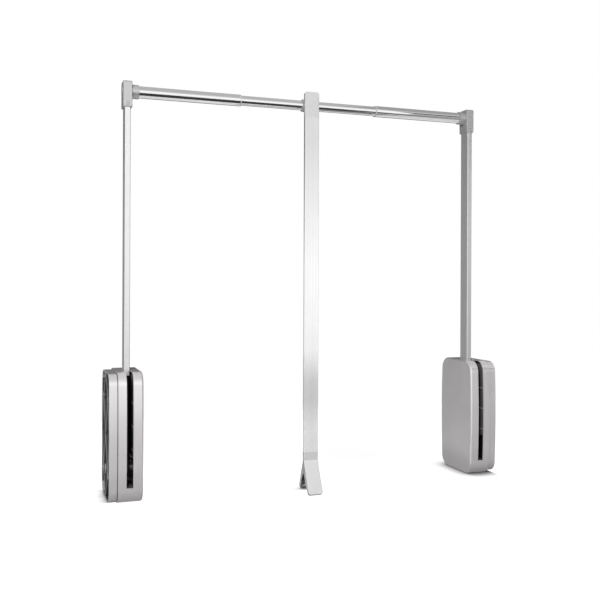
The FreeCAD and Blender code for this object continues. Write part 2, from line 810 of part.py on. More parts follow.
def damper():
    """Damper body hung from its shelf, and the rod that the carriage pushes in."""
    x = "arm_x - damper_x"
    barrel = rod("left_damper_barrel", "z", x, "strut_y", "damper_foot", "damper_radius",
                 "shelf_height - damper_foot - seat_gap")
    stud = rod("left_damper_stud", "z", x, "strut_y", "shelf_height - shelf_thick",
               "damper_rod", "damper_stud")
    bore = rod("left_damper_bore", "z", x, "strut_y", "damper_foot",
               "damper_rod + running_gap", "damper_bore")
    node(cut("left_damper_cylinder", fuse("left_damper_blank", barrel, stud), bore))
    foot = "carriage_high + carriage_half / 2 + seat_gap"
    node(rod("left_damper_rod", "z", x, "strut_y", foot, "damper_rod",
             "damper_rod_top - (%s)" % foot))


def spring():
    """Compression spring between the carriage and its shelf, and the rod that guides it."""
    x = "arm_x + spring_x"
    shank = rod("left_guide_shank", "z", x, "strut_y", "guide_foot", "guide_radius",
                "shelf_height + shelf_thick - guide_foot")
    head = rod("left_guide_head", "z", x, "strut_y", "shelf_height + shelf_thick + seat_gap",
               "guide_head", "guide_head_tall")
    neck = rod("left_guide_neck", "z", x, "strut_y", "shelf_height", "guide_radius",
               "shelf_thick + guide_head_tall")
    node(fuse("left_spring_guide", shank, neck, head))
    body = new_body("left_spring")
    low = "carriage_high + spring_wire / 2 + seat_gap"
    rise = "shelf_height - carriage_high - spring_wire - 2 * seat_gap"
    wire = sketch_on(body, "XZ_Plane", "-strut_y")
    inner, outer = "spring_radius - spring_wire", "spring_radius"
    rectangle(wire, x + " + " + inner, x + " + " + outer,
              low + " - spring_wire / 2", low + " + spring_wire / 2")
    axis = body.newObject("PartDesign::Line", "left_spring_axis")
    axis.MapMode = "Deactivated"
    put(axis, x, "strut_y", "0")
    coil = body.newObject("PartDesign::AdditiveHelix", "left_spring_coil")
    coil.Profile = wire
    coil.ReferenceAxis = (axis, [""])
    coil.Mode = "height-turns-angle"
    bind(coil, "Height", rise)
    bind(coil, "Turns", "spring_turns")
    document.recompute()
    node(body)


def stops():
    """Rubber stops for the upright arm and for the arm pulled down."""
    node(block("left_rest_stop", "arm_x - stop_half", "arm_x + stop_half",
               "arm_depth / 2 + fit_gap", "channel_back", "rest_stop_low",
               "rest_stop_low + rest_stop_tall"))
    body = new_body("left_down_stop")
    side = sketch_on(body, "YZ_Plane", "arm_x - stop_half")
    lean = "(full_swing - 90) * 1deg"
    top = "-(arm_depth / 2 + fit_gap) / cos(%s) - (%s) * tan(%s)"
    polygon(side, [
        ("-(down_stop_front)", "down_stop_seat"),
        ("-(down_stop_rear)", "down_stop_seat"),
        ("-(down_stop_rear)", top % (lean, "down_stop_rear", lean)),
        ("-(down_stop_front)", top % (lean, "down_stop_front", lean)),
    ])
    pad(body, side, "2 * stop_half")
    node(body)


# ---- corner head ----------------------------------------------------------------------------

def corner_head():
    """Moulding that joins the arm's top to the rail, with a socket for each."""
    body = new_body("left_corner_head")
    half = "head_width / 2"
    side = sketch_on(body, "YZ_Plane", "arm_x - " + half)
    rectangle(side, "-head_depth / 2", "head_depth / 2",
              "rail_height - head_below", "rail_height + head_above")
    pad(body, side, "head_width")

    def corner(edge, high, rear):
        middle = edge.CenterOfMass
        return (along(edge, ALONG_X) and (middle.y > 0) == rear
                and (middle.z > number("rail_height")) == high)

    fillet(body, lambda edge: corner(edge, True, False), "head_front_radius")
    fillet(body, lambda edge: corner(edge, True, True), "head_rear_radius")
    fillet(body, lambda edge: corner(edge, False, False) or corner(edge, False, True),
           "head_foot_radius")
    fillet(body, lambda edge: at_x(edge, "arm_x - " + half) or at_x(edge, "arm_x + " + half),
           "head_edge")
    collar = sketch_on(body, "YZ_Plane", "arm_x")
    circle(collar, "0", "rail_height", "collar_radius")
    pad(body, collar, "collar_end")
    bore = sketch_on(body, "YZ_Plane", "arm_x + collar_end")
    circle(bore, "0", "rail_height", "tube_radius + seat_gap")
    pocket(body, bore, "collar_end - tube_stop + seat_gap", forward=False)
    socket = sketch_on(body, "XY_Plane", "rail_height - head_below")
    rectangle(socket, "arm_x - arm_width / 2 - running_gap", "arm_x + arm_width / 2 + running_gap",
              "-arm_depth / 2 - running_gap", "arm_depth / 2 + running_gap")
    pocket(body, socket, "head_below - arm_head_drop + seat_gap")
    cap = sketch_on(body, "YZ_Plane", "arm_x - " + half)
    circle(cap, "0", "rail_height", "cap_radius + running_gap")
    pocket(body, cap, "cap_sink")
    seat = sketch_on(body, "YZ_Plane", "arm_x - %s + cap_sink" % half)
    circle(seat, "0", "rail_height", "bolt_head + running_gap")
    pocket(body, seat, "bolt_head_tall + running_gap")
    hole = sketch_on(body, "YZ_Plane", "arm_x - " + half)
    circle(hole, "0", "rail_height", "bolt_radius + seat_gap")
    pocket(body, hole, "head_width")
    screw = sketch_on(body, "XZ_Plane", "head_depth / 2")
    circle(screw, "arm_x", "head_screw_z", "screw_radius + seat_gap")
    pocket(body, screw, "head_depth / 2", forward=False)
    dimple = sketch_on(body, "XZ_Plane", "head_depth / 2")
    circle(dimple, "arm_x", "head_screw_z", "screw_head + running_gap")
    pocket(body, dimple, "arm_wall", forward=False)
    node(body)


def head_fittings():
    """Cover disc, rail bolt, tube plug and arm screw of the corner head."""
    half = "head_width / 2"
    rim = cone("left_cap_rim", "x", "arm_x - %s - cap_proud" % half, "0", "rail_height",
               "cap_radius - cap_edge", "cap_radius", "cap_edge")
    disc = rod("left_cap_disc", "x", "arm_x - %s - cap_proud + cap_edge" % half, "0",
               "rail_height", "cap_radius", "cap_proud + cap_sink - cap_edge")
    node(fuse("left_head_cap", rim, disc))

    start = "arm_x - %s + cap_sink + seat_gap" % half
    head = rod("left_bolt_head", "x", start, "0", "rail_height", "bolt_head", "bolt_head_tall")
    shank = rod("left_bolt_shank", "x", start, "0", "rail_height", "bolt_radius",
                "bolt_end + %s - cap_sink" % half)
    key = document.addObject("Part::Prism", "left_bolt_key")
    key.Polygon = 6
    bind(key, "Circumradius", "bolt_radius")
    bind(key, "Height", "bolt_head_tall / 2")
    key.Placement.Rotation = TURNS["x"]
    put(key, start, "0", "rail_height")
    node(cut("left_rail_bolt", fuse("left_bolt_blank", head, shank), key))

    plug = rod("left_plug_body", "x", "arm_x + tube_stop", "0", "rail_height",
               "tube_radius - tube_wall - seat_gap", "plug_end - tube_stop")
    thread = rod("left_plug_bore", "x", "arm_x + tube_stop", "0", "rail_height",
                 "bolt_radius + seat_gap", "bolt_end")
    node(cut("left_tube_plug", plug, thread))

    front = "-head_depth / 2 + running_gap"
    pan = rod("left_arm_screw_head", "y", "arm_x", front, "head_screw_z", "screw_head",
              "arm_wall - running_gap")
    stem = rod("left_arm_screw_stem", "y", "arm_x", front, "head_screw_z", "screw_radius",
               "head_screw_length")
    drive = rod("left_arm_screw_drive", "y", "arm_x", front, "head_screw_z",
                "screw_radius / 2", "arm_wall / 2")
    node(cut("left_arm_screw", fuse("left_arm_screw_blank", pan, stem), drive))


# ---- rail -----------------------------------------------------------------------------------

def pipe(label, start, end, outer, inner):
    length = "(%s) - (%s)" % (end, start)
    outside = rod(label + "_outside", "x", start, "0", "rail_height", outer, length)
    bore = rod(label + "_bore", "x", start, "0", "rail_height", inner, length)
    return cut(label, outside, bore)


def rail_side():
    """Outer tube of one side and the glide pressed in its open end."""
    end = "middle_x - tube_gap_half"
    node(pipe("left_rail_tube", "arm_x + tube_stop", end, "tube_radius",
              "tube_radius - tube_wall"))
    sleeve = pipe("left_glide_sleeve", end + " - glide_length", end + " + glide_flange",
                  "tube_radius - tube_wall - seat_gap", "inner_radius + running_gap")
    flange = pipe("left_glide_flange", end + " + seat_gap", end + " + glide_flange",
                  "tube_radius", "inner_radius + running_gap")
    node(fuse("left_tube_glide", sleeve, flange))


def rail_middle():
    node(pipe("rail_inner_tube", "middle_x - inner_half", "middle_x + inner_half",
              "inner_radius", "inner_radius - inner_wall"))


# ---- pull bar -------------------------------------------------------------------------------

def pull_sleeve():
    """Ring that turns on the rail, with a flat tongue that carries the bar."""
    ring = rod("sleeve_ring", "x", "middle_x - sleeve_half", "0", "rail_height",
               "sleeve_radius", "2 * sleeve_half")
    tongue = block("sleeve_tongue", "middle_x - tongue_half", "middle_x + tongue_half",
                   "-bar_mid - tongue_thick", "-bar_mid + tongue_thick",
                   "bar_top - tongue_length", "rail_height + bar_head_half - bar_wall - fit_gap")
    bore = rod("sleeve_bore", "x", "middle_x - sleeve_half", "0", "rail_height",
               "inner_radius + running_gap", "2 * sleeve_half")
    hole = rod("sleeve_screw_hole", "y", "middle_x", "-bar_front", "upper_screw",
               "screw_radius + seat_gap", "bar_front")
    node(cut("pull_sleeve", fuse("sleeve_blank", ring, tongue), fuse("sleeve_holes", bore, hole)))


def bar_head():
    """Cap over the top of the bar, hollow behind and notched round the ring."""
    body = new_body("bar_head_blank")
    face = sketch_on(body, "XZ_Plane", "bar_rear")
    rectangle(face, "middle_x - bar_width / 2", "middle_x + bar_width / 2",
              "bar_top", "rail_height + bar_head_half")
    pad(body, face, "bar_thick")
    fillet(body, lambda edge: along(edge, ALONG_Y)
           and edge.CenterOfMass.z > number("rail_height"), "bar_head_corner")
    fillet(body, lambda edge: all(near(vertex.Y, "-bar_front") for vertex in edge.Vertexes)
           and not near(edge.CenterOfMass.z, "bar_top"), "bar_edge")
    hollow = sketch_on(body, "XZ_Plane", "bar_rear")
    rectangle(hollow, "middle_x - bar_width / 2 + bar_wall",
              "middle_x + bar_width / 2 - bar_wall",
              "bar_top - bar_thick", "rail_height + bar_head_half - bar_wall")
    pocket(body, hollow, "bar_thick - bar_wall")
    notch = rod("bar_head_notch", "x", "middle_x - bar_width", "0", "rail_height",
                "sleeve_radius + running_gap", "2 * bar_width")
    node(cut("pull_bar_head", body, notch))


def pull_bar():
    body = new_body("pull_bar")
    outside = sketch_on(body, "XY_Plane", "bar_foot")
    half = "bar_width / 2"
    rectangle(outside, "middle_x - " + half, "middle_x + " + half, "-bar_front", "-(bar_rear)")
    pad(body, outside, "bar_top - bar_foot")
    fillet(body, lambda edge: along(edge, ALONG_Z), "bar_edge")
    inside = sketch_on(body, "XY_Plane", "bar_foot")
    rectangle(inside, "middle_x - %s + bar_wall" % half, "middle_x + %s - bar_wall" % half,
              "-bar_front + bar_wall", "-(bar_rear) - bar_wall")
    pocket(body, inside, "rail_height")
    for height in ("upper_screw", "lower_screw"):
        hole = sketch_on(body, "XZ_Plane", "bar_mid")
        circle(hole, "middle_x", height, "screw_head + seat_gap")
        pocket(body, hole, "bar_thick", forward=False)
    node(body)


def bar_screws():
    """Screw at each end of the bar, from behind into the ring's and the handle's tongues."""
    for label, height in (("bar_screw_upper", "upper_screw"), ("bar_screw_lower", "lower_screw")):
        head = rod(label + "_head", "y", "middle_x", "-bar_mid + tongue_thick + seat_gap", height,
                   "screw_head", "bar_wall")
        stem = rod(label + "_stem", "y", "middle_x", "-bar_mid - tongue_thick / 2", height,
                   "screw_radius", "3 * tongue_thick / 2 + 2 * seat_gap")
        node(fuse(label, head, stem))


def leg_point(leg, share, inward):
    """A point of a leg's side view as an (across, up) pair.

    The share runs from 0 at the neck to 1 at the leg's foot along its outer face, and inward is
    a distance from that face.
    """
    sign = "-" if leg == "front" else "+"
    run = "(%s_leg_reach - bar_thick / 2)" % leg
    drop = "(%s_leg_foot - handle_neck)" % leg
    slope = "sqrt(%s^2 + %s^2)" % (run, drop)
    out = "(bar_thick / 2 + (%s) * %s - (%s) * %s / %s)" % (share, run, inward, drop, slope)
    across = "-(bar_mid) %s %s" % (sign, out)
    up = "-handle_neck - (%s) * %s - (%s) * %s / %s" % (share, drop, inward, run, slope)
    return across, up


def pull_handle():
    """Forked handle: a straight neck that opens into a front leg and a shorter rear leg."""
    body = new_body("pull_handle")
    side = sketch_on(body, "YZ_Plane", "middle_x - bar_width / 2")
    polygon(side, [
        ("-bar_front", "bar_foot"),
        ("-bar_front", "-handle_neck"),
        leg_point("front", "1", "0"),
        leg_point("front", "1", "leg_thick"),
        ("-(bar_mid)", "-handle_fork"),
        leg_point("rear", "1", "leg_thick"),
        leg_point("rear", "1", "0"),
        ("-(bar_rear)", "-handle_neck"),
        ("-(bar_rear)", "bar_foot"),
    ])
    pad(body, side, "bar_width")

    def bend(edge, height):
        return along(edge, ALONG_X) and near(edge.CenterOfMass.z, height)

    def below(edge):
        return edge.CenterOfMass.z < number("leg_thick - rear_leg_foot")

    fillet(body, lambda edge: bend(edge, "-handle_neck"), "handle_bend")
    fillet(body, lambda edge: bend(edge, "-handle_fork"), "leg_thick / 2")
    fillet(body, lambda edge: below(edge) and near(edge.Length, "leg_thick"), "handle_corner")
    fillet(body, lambda edge: below(edge) and along(edge, ALONG_X), "handle_edge")
    for leg in ("front", "rear"):
        recess = sketch_on(body, "YZ_Plane", "middle_x - bar_width / 2 + leg_skin")
        polygon(recess, [
            leg_point(leg, "leg_root", "leg_skin"),
            leg_point(leg, "leg_tail", "leg_skin"),
            leg_point(leg, "leg_tail", "2 * leg_thick"),
            leg_point(leg, "leg_root", "2 * leg_thick"),
        ])
        pocket(body, recess, "bar_width - 2 * leg_skin")
    tongue = sketch_on(body, "XY_Plane", "bar_foot")
    rectangle(tongue, "middle_x - tongue_half", "middle_x + tongue_half",
              "-bar_mid - tongue_thick", "-bar_mid + tongue_thick")
    pad(body, tongue, "tongue_length")
    hole = sketch_on(body, "XZ_Plane", "bar_front")
    circle(hole, "middle_x", "lower_screw", "screw_radius + seat_gap")
    pocket(body, hole, "bar_front", forward=False)
    node(body)


# ---- the whole product ----------------------------------------------------------------------

def mirror_left():
    """The right side's pieces: each left piece mirrored in the middle plane of the rail."""
    for piece in [item for item in nodes if item.Label.startswith("left_")]:
        twin = document.addObject("Part::Mirroring", piece.Label.replace("left_", "right_"))
        twin.Source = piece
        twin.Normal = ALONG_X
        bind(twin, ".Base.x", "middle_x")
        nodes.append(twin)
    document.recompute()


def check_model():
    """Stop if an object failed or a piece has no valid solid."""
    for item in document.Objects:
        if "Invalid" in item.State or "Error" in item.State:
            raise RuntimeError("%s failed: %s" % (item.Name, item.State))
    for piece in nodes:
        if piece.Shape.isNull() or not piece.Shape.isValid() or not piece.Shape.Solids:
            raise RuntimeError("%s has no valid solid" % piece.Label)


def build():
    base_plate()
    housing_shell()
    seam_screws()
    channel()
    pivot()
    arm_foot()
    arm_tube()
    carriages()
    damper()
    spring()
    stops()
    corner_head()
    head_fittings()
    rail_side()
    mirror_left()
    rail_middle()
    pull_sleeve()
    bar_head()
    pull_bar()
    bar_screws()
    pull_handle()
    document.recompute()
    check_model()
    os.makedirs("parts", exist_ok=True)
    for piece in nodes:
        piece.Shape.exportStep("parts/%s.step" % piece.Label)


build()
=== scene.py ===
"""Looks of the pull-down wardrobe rail: finishes, small hardware, studio and camera.

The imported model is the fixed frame. Every CAD piece gets a procedural finish, and the screws and
springs, whose real form is finer than their solids, are built here and stand for them. Lengths are
metres in the frame of the model: X along the rail, +Y into the wardrobe, +Z up, with the origin on
the left wall at the height of the arm's pivot.
"""

import json
import logging
import math
from dataclasses import dataclass
from enum import Enum

import bmesh
import bpy
from mathutils import Matrix, Vector


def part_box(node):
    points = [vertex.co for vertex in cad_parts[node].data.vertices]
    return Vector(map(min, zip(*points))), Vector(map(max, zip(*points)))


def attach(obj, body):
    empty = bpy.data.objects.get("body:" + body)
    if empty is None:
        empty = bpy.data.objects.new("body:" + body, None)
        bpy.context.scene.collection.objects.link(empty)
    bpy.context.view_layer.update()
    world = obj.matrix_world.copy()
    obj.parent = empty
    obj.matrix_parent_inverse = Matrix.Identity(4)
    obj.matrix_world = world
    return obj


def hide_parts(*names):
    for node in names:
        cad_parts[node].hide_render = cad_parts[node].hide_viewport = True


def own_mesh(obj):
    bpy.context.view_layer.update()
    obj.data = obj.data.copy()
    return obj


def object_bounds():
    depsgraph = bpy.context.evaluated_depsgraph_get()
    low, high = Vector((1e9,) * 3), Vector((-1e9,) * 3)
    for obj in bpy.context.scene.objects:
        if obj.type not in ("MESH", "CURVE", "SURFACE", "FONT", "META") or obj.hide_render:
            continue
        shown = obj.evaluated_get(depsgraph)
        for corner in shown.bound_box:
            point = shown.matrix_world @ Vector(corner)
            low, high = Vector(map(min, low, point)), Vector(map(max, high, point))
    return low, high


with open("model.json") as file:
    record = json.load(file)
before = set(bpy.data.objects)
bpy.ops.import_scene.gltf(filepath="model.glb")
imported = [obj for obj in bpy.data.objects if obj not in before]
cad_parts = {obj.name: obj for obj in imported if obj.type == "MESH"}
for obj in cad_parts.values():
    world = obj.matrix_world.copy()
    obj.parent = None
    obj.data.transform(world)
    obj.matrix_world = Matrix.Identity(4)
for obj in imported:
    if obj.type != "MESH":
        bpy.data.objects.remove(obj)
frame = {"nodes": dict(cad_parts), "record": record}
CAD_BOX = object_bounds()

log = logging.getLogger("pull_down_rail")

Colour = tuple[float, float, float]
Place = tuple[float, float, float]
Span = tuple[float, float]
Socket = bpy.types.NodeSocket
Plain = float | tuple[float, ...]
Feed = Socket | Plain
Skin = tuple[Socket, float, Socket, Socket]
Ring = list[bmesh.types.BMVert]

SMOOTH_BELOW = math.radians(40.0)   # edges that turn less than this are smooth


class Side(Enum):
    """The two ends of the rail, whose pieces mirror each other."""

    LEFT = "left"
    RIGHT = "right"


class Axis(Enum):
    """The direction that a small piece points in."""

    TO_FRONT = (0.0, -1.0, 0.0)
    TO_REAR = (0.0, 1.0, 0.0)


# ---- node trees ---------------------------------------------------------------------------------


class Tree:
    """A node tree with short ways to add nodes and join them."""

    def __init__(self, tree: bpy.types.NodeTree) -> None:
        """Start from an empty tree.

        Args:
            tree: the tree to fill.
        """
        self.tree = tree
        tree.nodes.clear()

    def add(self, kind: str, inputs: dict[str | int, Feed] | None = None,
            **settings: object) -> bpy.types.Node:
        """Add a node.

        Args:
            kind: the node's type without its "ShaderNode" start.
            inputs: what each input gets, a socket to join or a plain value.
            settings: the node's own properties.

        Returns:
            The new node.
        """
        prefix = "" if kind.startswith("NodeGroup") else "ShaderNode"
        node = self.tree.nodes.new(prefix + kind)
        for name, value in settings.items():
            setattr(node, name, value)
        for name, value in (inputs or {}).items():
            self.feed(node.inputs[name], value)
        return node

    def feed(self, socket: Socket, value: Feed) -> None:
        """Join a socket to another one, or set its plain value.

        Args:
            socket: the input to fill.
            value: an output socket, a number, a vector or a colour.
        """
        if isinstance(value, Socket):
            self.tree.links.new(value, socket)
        elif socket.type == "RGBA":
            socket.default_value = (*value[:3], 1.0)
        else:
            socket.default_value = value

    def maths(self, operation: str, *values: Feed) -> Socket:
        """The result of a Math node on up to three numbers or sockets."""
        node = self.add("Math", dict(enumerate(values)), operation=operation)
        return node.outputs[0]

    def span(self, value: Socket, low: float, high: float, to_low: float = 0.0,
             to_high: float = 1.0) -> Socket:
        """Map a value from one span to another, held within the second.

        Args:
            value: the socket to map.
            low: start of the first span.
            high: end of the first span.
            to_low: start of the second span.
            to_high: end of the second span.

        Returns:
            The mapped value.
        """
        node = self.add("MapRange", {"Value": value, "From Min": low, "From Max": high,
                                     "To Min": to_low, "To Max": to_high})
        return node.outputs["Result"]

    def blend(self, share: Feed, first: Feed, second: Feed) -> Socket:
        """Mix two colours.

        Args:
            share: how much of the second colour, a number or socket.
            first: a colour or socket.
            second: a colour or socket.

        Returns:
            The mixed colour.
        """
        node = self.add("Mix", data_type="RGBA")
        self.feed(node.inputs["Factor"], share)
        colours = [item for item in node.inputs if item.type == "RGBA"]
        self.feed(colours[0], first)
        self.feed(colours[1], second)
        return next(item for item in node.outputs if item.type == "RGBA")

    def scaled(self, colour: Feed, share: Feed) -> Socket:
        """A colour made darker or lighter by a number or socket."""
        node = self.add("VectorMath", {0: colour, "Scale": share}, operation="SCALE")
        return node.outputs["Vector"]

    def part(self, source: Socket, axis: str) -> Socket:
        """The X, Y or Z of a vector socket."""
        return self.add("SeparateXYZ", {0: source}).outputs[axis]


def blank_material(name: str) -> tuple[bpy.types.Material, Tree]:
    """Make a material with an empty tree.

    Args:
        name: the material's name.

    Returns:
        The material and its tree.
    """
    material = bpy.data.materials.new(name)
    material.use_nodes = True
    return material, Tree(material.node_tree)


class Effect:
    """A shader node group that several finishes share."""

    def __init__(self, name: str, inputs: dict[str, Plain], outputs: dict[str, str]) -> None:
        """Make the group and its sockets.

        Args:
            name: the group's name.
            inputs: each input's name and its first value.
            outputs: each output's name and its kind, Float or Vector.
        """
        self.group = bpy.data.node_groups.new(name, "ShaderNodeTree")
        self.nodes = Tree(self.group)
        for label, value in inputs.items():
            kind = "NodeSocketVector" if isinstance(value, tuple) else "NodeSocketFloat"
            socket = self.group.interface.new_socket(name=label, in_out="INPUT", socket_type=kind)
            socket.default_value = value
        for label, kind in outputs.items():
            self.group.interface.new_socket(name=label, in_out="OUTPUT",
                                            socket_type="NodeSocket" + kind)
        self.entry = self.nodes.add("NodeGroupInput").outputs
        self.results = self.nodes.add("NodeGroupOutput").inputs

    def put_out(self, name: str, socket: Socket) -> None:
        """Send a socket to one of the group's outputs."""
        self.nodes.feed(self.results[name], socket)

    def place(self, tree: Tree, inputs: dict[str, Feed]) -> bpy.types.NodeOutputs:
        """Put the group into a material.

        Args:
            tree: the material's tree.
            inputs: values for the group's inputs.

        Returns:
            The placed group's outputs.
        """
        return tree.add("Group", inputs, node_tree=self.group).outputs


def rounded_edges() -> Effect:
    """Light-catching edges: the rounded normal, and a patchy mask of where edges rub bare.

    Returns:
        The effect's node group.
    """
    flat, sharp = 0.995, 0.86    # cosine of the turn between the face and the rounded normal
    kept, worn = 0.42, 0.68      # where the patches begin, and where they are rubbed bare
    effect = Effect("Rounded edges", {"Radius": 0.0004, "Patch Scale": 90.0},
                    {"Normal": "Vector", "Rubbed": "Float"})
    tree = effect.nodes
    bevel = tree.add("Bevel", {"Radius": effect.entry["Radius"]}, samples=6)
    face = tree.add("NewGeometry").outputs["Normal"]
    turn = tree.add("VectorMath", {0: bevel.outputs["Normal"], 1: face}, operation="DOT_PRODUCT")
    edge = tree.span(turn.outputs["Value"], flat, sharp)
    place = tree.add("TexCoord").outputs["Object"]
    noise = tree.add("TexNoise", {"Vector": place, "Scale": effect.entry["Patch Scale"],
                                  "Detail": 3.0})
    patches = tree.span(noise.outputs["Fac"], kept, worn)
    effect.put_out("Normal", bevel.outputs["Normal"])
    effect.put_out("Rubbed", tree.maths("MULTIPLY", edge, patches))
    return effect


def moulded_grain() -> Effect:
    """The spark-eroded skin of moulded plastic: a fine height and a slow drift of shade.

    Returns:
        The effect's node group.
    """
    pit_share = 0.5
    darkest, palest = 0.3, 0.7
    effect = Effect("Moulded grain", {"Grain Scale": 1900.0, "Drift Scale": 16.0},
                    {"Height": "Float", "Drift": "Float"})
    tree = effect.nodes
    place = tree.add("TexCoord").outputs["Object"]
    pits = tree.add("TexVoronoi", {"Vector": place, "Scale": effect.entry["Grain Scale"]})
    grit = tree.add("TexNoise", {"Vector": place, "Scale": effect.entry["Grain Scale"],
                                 "Detail": 3.0, "Roughness": 0.65})
    height = tree.maths("MULTIPLY_ADD", pits.outputs["Distance"], pit_share, grit.outputs["Fac"])
    slow = tree.add("TexNoise", {"Vector": place, "Scale": effect.entry["Drift Scale"],
                                 "Detail": 4.0})
    effect.put_out("Height", height)
    effect.put_out("Drift", tree.span(slow.outputs["Fac"], darkest, palest))
    return effect


def drawn_lines() -> Effect:
    """Fine lines left along a drawn or brushed metal section.

    Stretch is how fine the lines are along X, Y and Z, and they run where it is low.

    Returns:
        The effect's node group.
    """
    darkest, palest = 0.32, 0.68
    effect = Effect("Drawn lines", {"Stretch": (2600.0, 2600.0, 9.0)},
                    {"Height": "Float", "Line": "Float"})
    tree = effect.nodes
    place = tree.add("TexCoord").outputs["Object"]
    pulled = tree.add("VectorMath", {0: place, 1: effect.entry["Stretch"]}, operation="MULTIPLY")
    lines = tree.add("TexNoise", {"Vector": pulled.outputs["Vector"], "Scale": 1.0,
                                  "Detail": 4.0, "Roughness": 0.6})
    effect.put_out("Height", lines.outputs["Fac"])
    effect.put_out("Line", tree.span(lines.outputs["Fac"], darkest, palest))
    return effect


def handling_marks() -> Effect:
    """Faint smears that break up the gloss of polished and painted metal.

    Returns:
        The effect's node group.
    """
    fine_scale = 420.0
    clean, smeared = 0.18, 0.36
    effect = Effect("Handling marks", {"Scale": 22.0}, {"Smear": "Float"})
    tree = effect.nodes
    place = tree.add("TexCoord").outputs["Object"]
    broad = tree.add("TexNoise", {"Vector": place, "Scale": effect.entry["Scale"],
                                  "Detail": 5.0, "Distortion": 0.8})
    fine = tree.add("TexNoise", {"Vector": place, "Scale": fine_scale, "Detail": 2.0})
    both = tree.maths("MULTIPLY", broad.outputs["Fac"], fine.outputs["Fac"])
    effect.put_out("Smear", tree.span(both, clean, smeared))
    return effect


def settled_dust() -> Effect:
    """Thin dust on what faces up, thicker in patches.

    Returns:
        The effect's node group.
    """
    steep, level = 0.55, 1.0
    patch_scale = 260.0
    thin, thick = 0.35, 0.75
    effect = Effect("Settled dust", {"Amount": 0.3}, {"Dust": "Float"})
    tree = effect.nodes
    normal = tree.add("NewGeometry").outputs["Normal"]
    facing = tree.span(tree.part(normal, "Z"), steep, level)
    place = tree.add("TexCoord").outputs["Object"]
    noise = tree.add("TexNoise", {"Vector": place, "Scale": patch_scale, "Detail": 5.0})
    patches = tree.span(noise.outputs["Fac"], thin, thick)
    share = tree.maths("MULTIPLY", facing, patches)
    effect.put_out("Dust", tree.maths("MULTIPLY", share, effect.entry["Amount"]))
    return effect


def painted_crease_shade() -> Effect:
    """Painted shade where neighbouring faces stand close together: a mask that darkens creases,
    corners and gaps, where shade falls.

    Returns:
        The effect's node group.
    """
    open_edge, closed_edge = 0.72, 0.25
    effect = Effect("Painted crease shade", {"Reach": 0.006}, {"Crease Shade": "Float"})
    tree = effect.nodes
    open_share = tree.add("AmbientOcclusion", {"Distance": effect.entry["Reach"]}, samples=12)
    effect.put_out("Crease Shade", tree.span(open_share.outputs["AO"], open_edge, closed_edge))
    return effect


def bare_tray() -> Effect:
    """What the lacquer leaves bare: the ribbed tray on a housing's wall side, and its seam, whose
    dark line is partly the bare moulding and partly a painted shadow of the seam's gap. The ribs'
    tops get a painted highlight.

    Middle is the product's middle along the rail, Seam is how far from the wall the seam's edge
    begins, Rib Highlight Reach how far the painted highlight on the tops of the ribs goes, and the
    other inputs are the tray's own sizes. Its long sides bulge, so they are straightened by their
    sag before the outline is tested.

    Returns:
        The effect's node group.
    """
    effect = Effect("Bare tray", {"Middle": 0.4467, "Tray Deep": 0.0151, "Half Depth": 0.0650,
                                  "Centre": 0.0705, "Half Height": 0.1275, "Corner": 0.022,
                                  "Sag": 0.256, "Seam": 0.0162, "Rib Highlight Reach": 0.0012},
                    {"Bare": "Float", "Rib Highlights": "Float"})
    tree, entry = effect.nodes, effect.entry
    place = tree.add("SeparateXYZ", {0: tree.add("TexCoord").outputs["Object"]}).outputs
    from_middle = tree.maths("ABSOLUTE", tree.maths("SUBTRACT", place["X"], entry["Middle"]))
    from_wall = tree.maths("SUBTRACT", entry["Middle"], from_middle)
    inside = tree.maths("LESS_THAN", from_wall, entry["Tray Deep"])
    rise = tree.maths("ABSOLUTE", tree.maths("SUBTRACT", place["Z"], entry["Centre"]))
    sag = tree.maths("MULTIPLY", tree.maths("MULTIPLY", rise, rise), entry["Sag"])
    across = tree.maths("ADD", tree.maths("ABSOLUTE", place["Y"]), sag)
    beyond = []
    for reach, half in ((across, "Half Depth"), (rise, "Half Height")):
        past = tree.maths("SUBTRACT", reach, tree.maths("SUBTRACT", entry[half], entry["Corner"]))
        beyond.append(tree.maths("MAXIMUM", past, 0.0))
    squares = [tree.maths("MULTIPLY", item, item) for item in beyond]
    out = tree.maths("SQRT", tree.maths("ADD", squares[0], squares[1]))
    within = tree.maths("LESS_THAN", out, entry["Corner"])
    tray = tree.maths("MULTIPLY", inside, within)
    # the seam's dark line: partly bare moulding, partly a painted shadow of its gap
    seam = tree.maths("GREATER_THAN", from_wall, entry["Seam"])
    effect.put_out("Bare", tree.maths("MAXIMUM", tray, seam))
    # painted highlight on the ribs' tops
    top = tree.maths("LESS_THAN", from_wall, entry["Rib Highlight Reach"])
    effect.put_out("Rib Highlights", tree.maths("MULTIPLY", top, within))
    return effect


@dataclass
class Effects:
    """The shared node groups, each built once."""

    edges: Effect
    grain: Effect
    lines: Effect
    marks: Effect
    dust: Effect
    crease_shade: Effect
    tray: Effect

    @classmethod
    def build(cls) -> "Effects":
        """Build every shared group."""
        return cls(rounded_edges(), moulded_grain(), drawn_lines(), handling_marks(),
                   settled_dust(), painted_crease_shade(), bare_tray())


# ---- finishes -----------------------------------------------------------------------------------

DUST_COLOUR: Colour = (0.50, 0.49, 0.47)
# CREASE_SHADE_COLOUR is the colour of the painted shade in creases and gaps
CREASE_SHADE_COLOUR: Colour = (0.035, 0.034, 0.034)


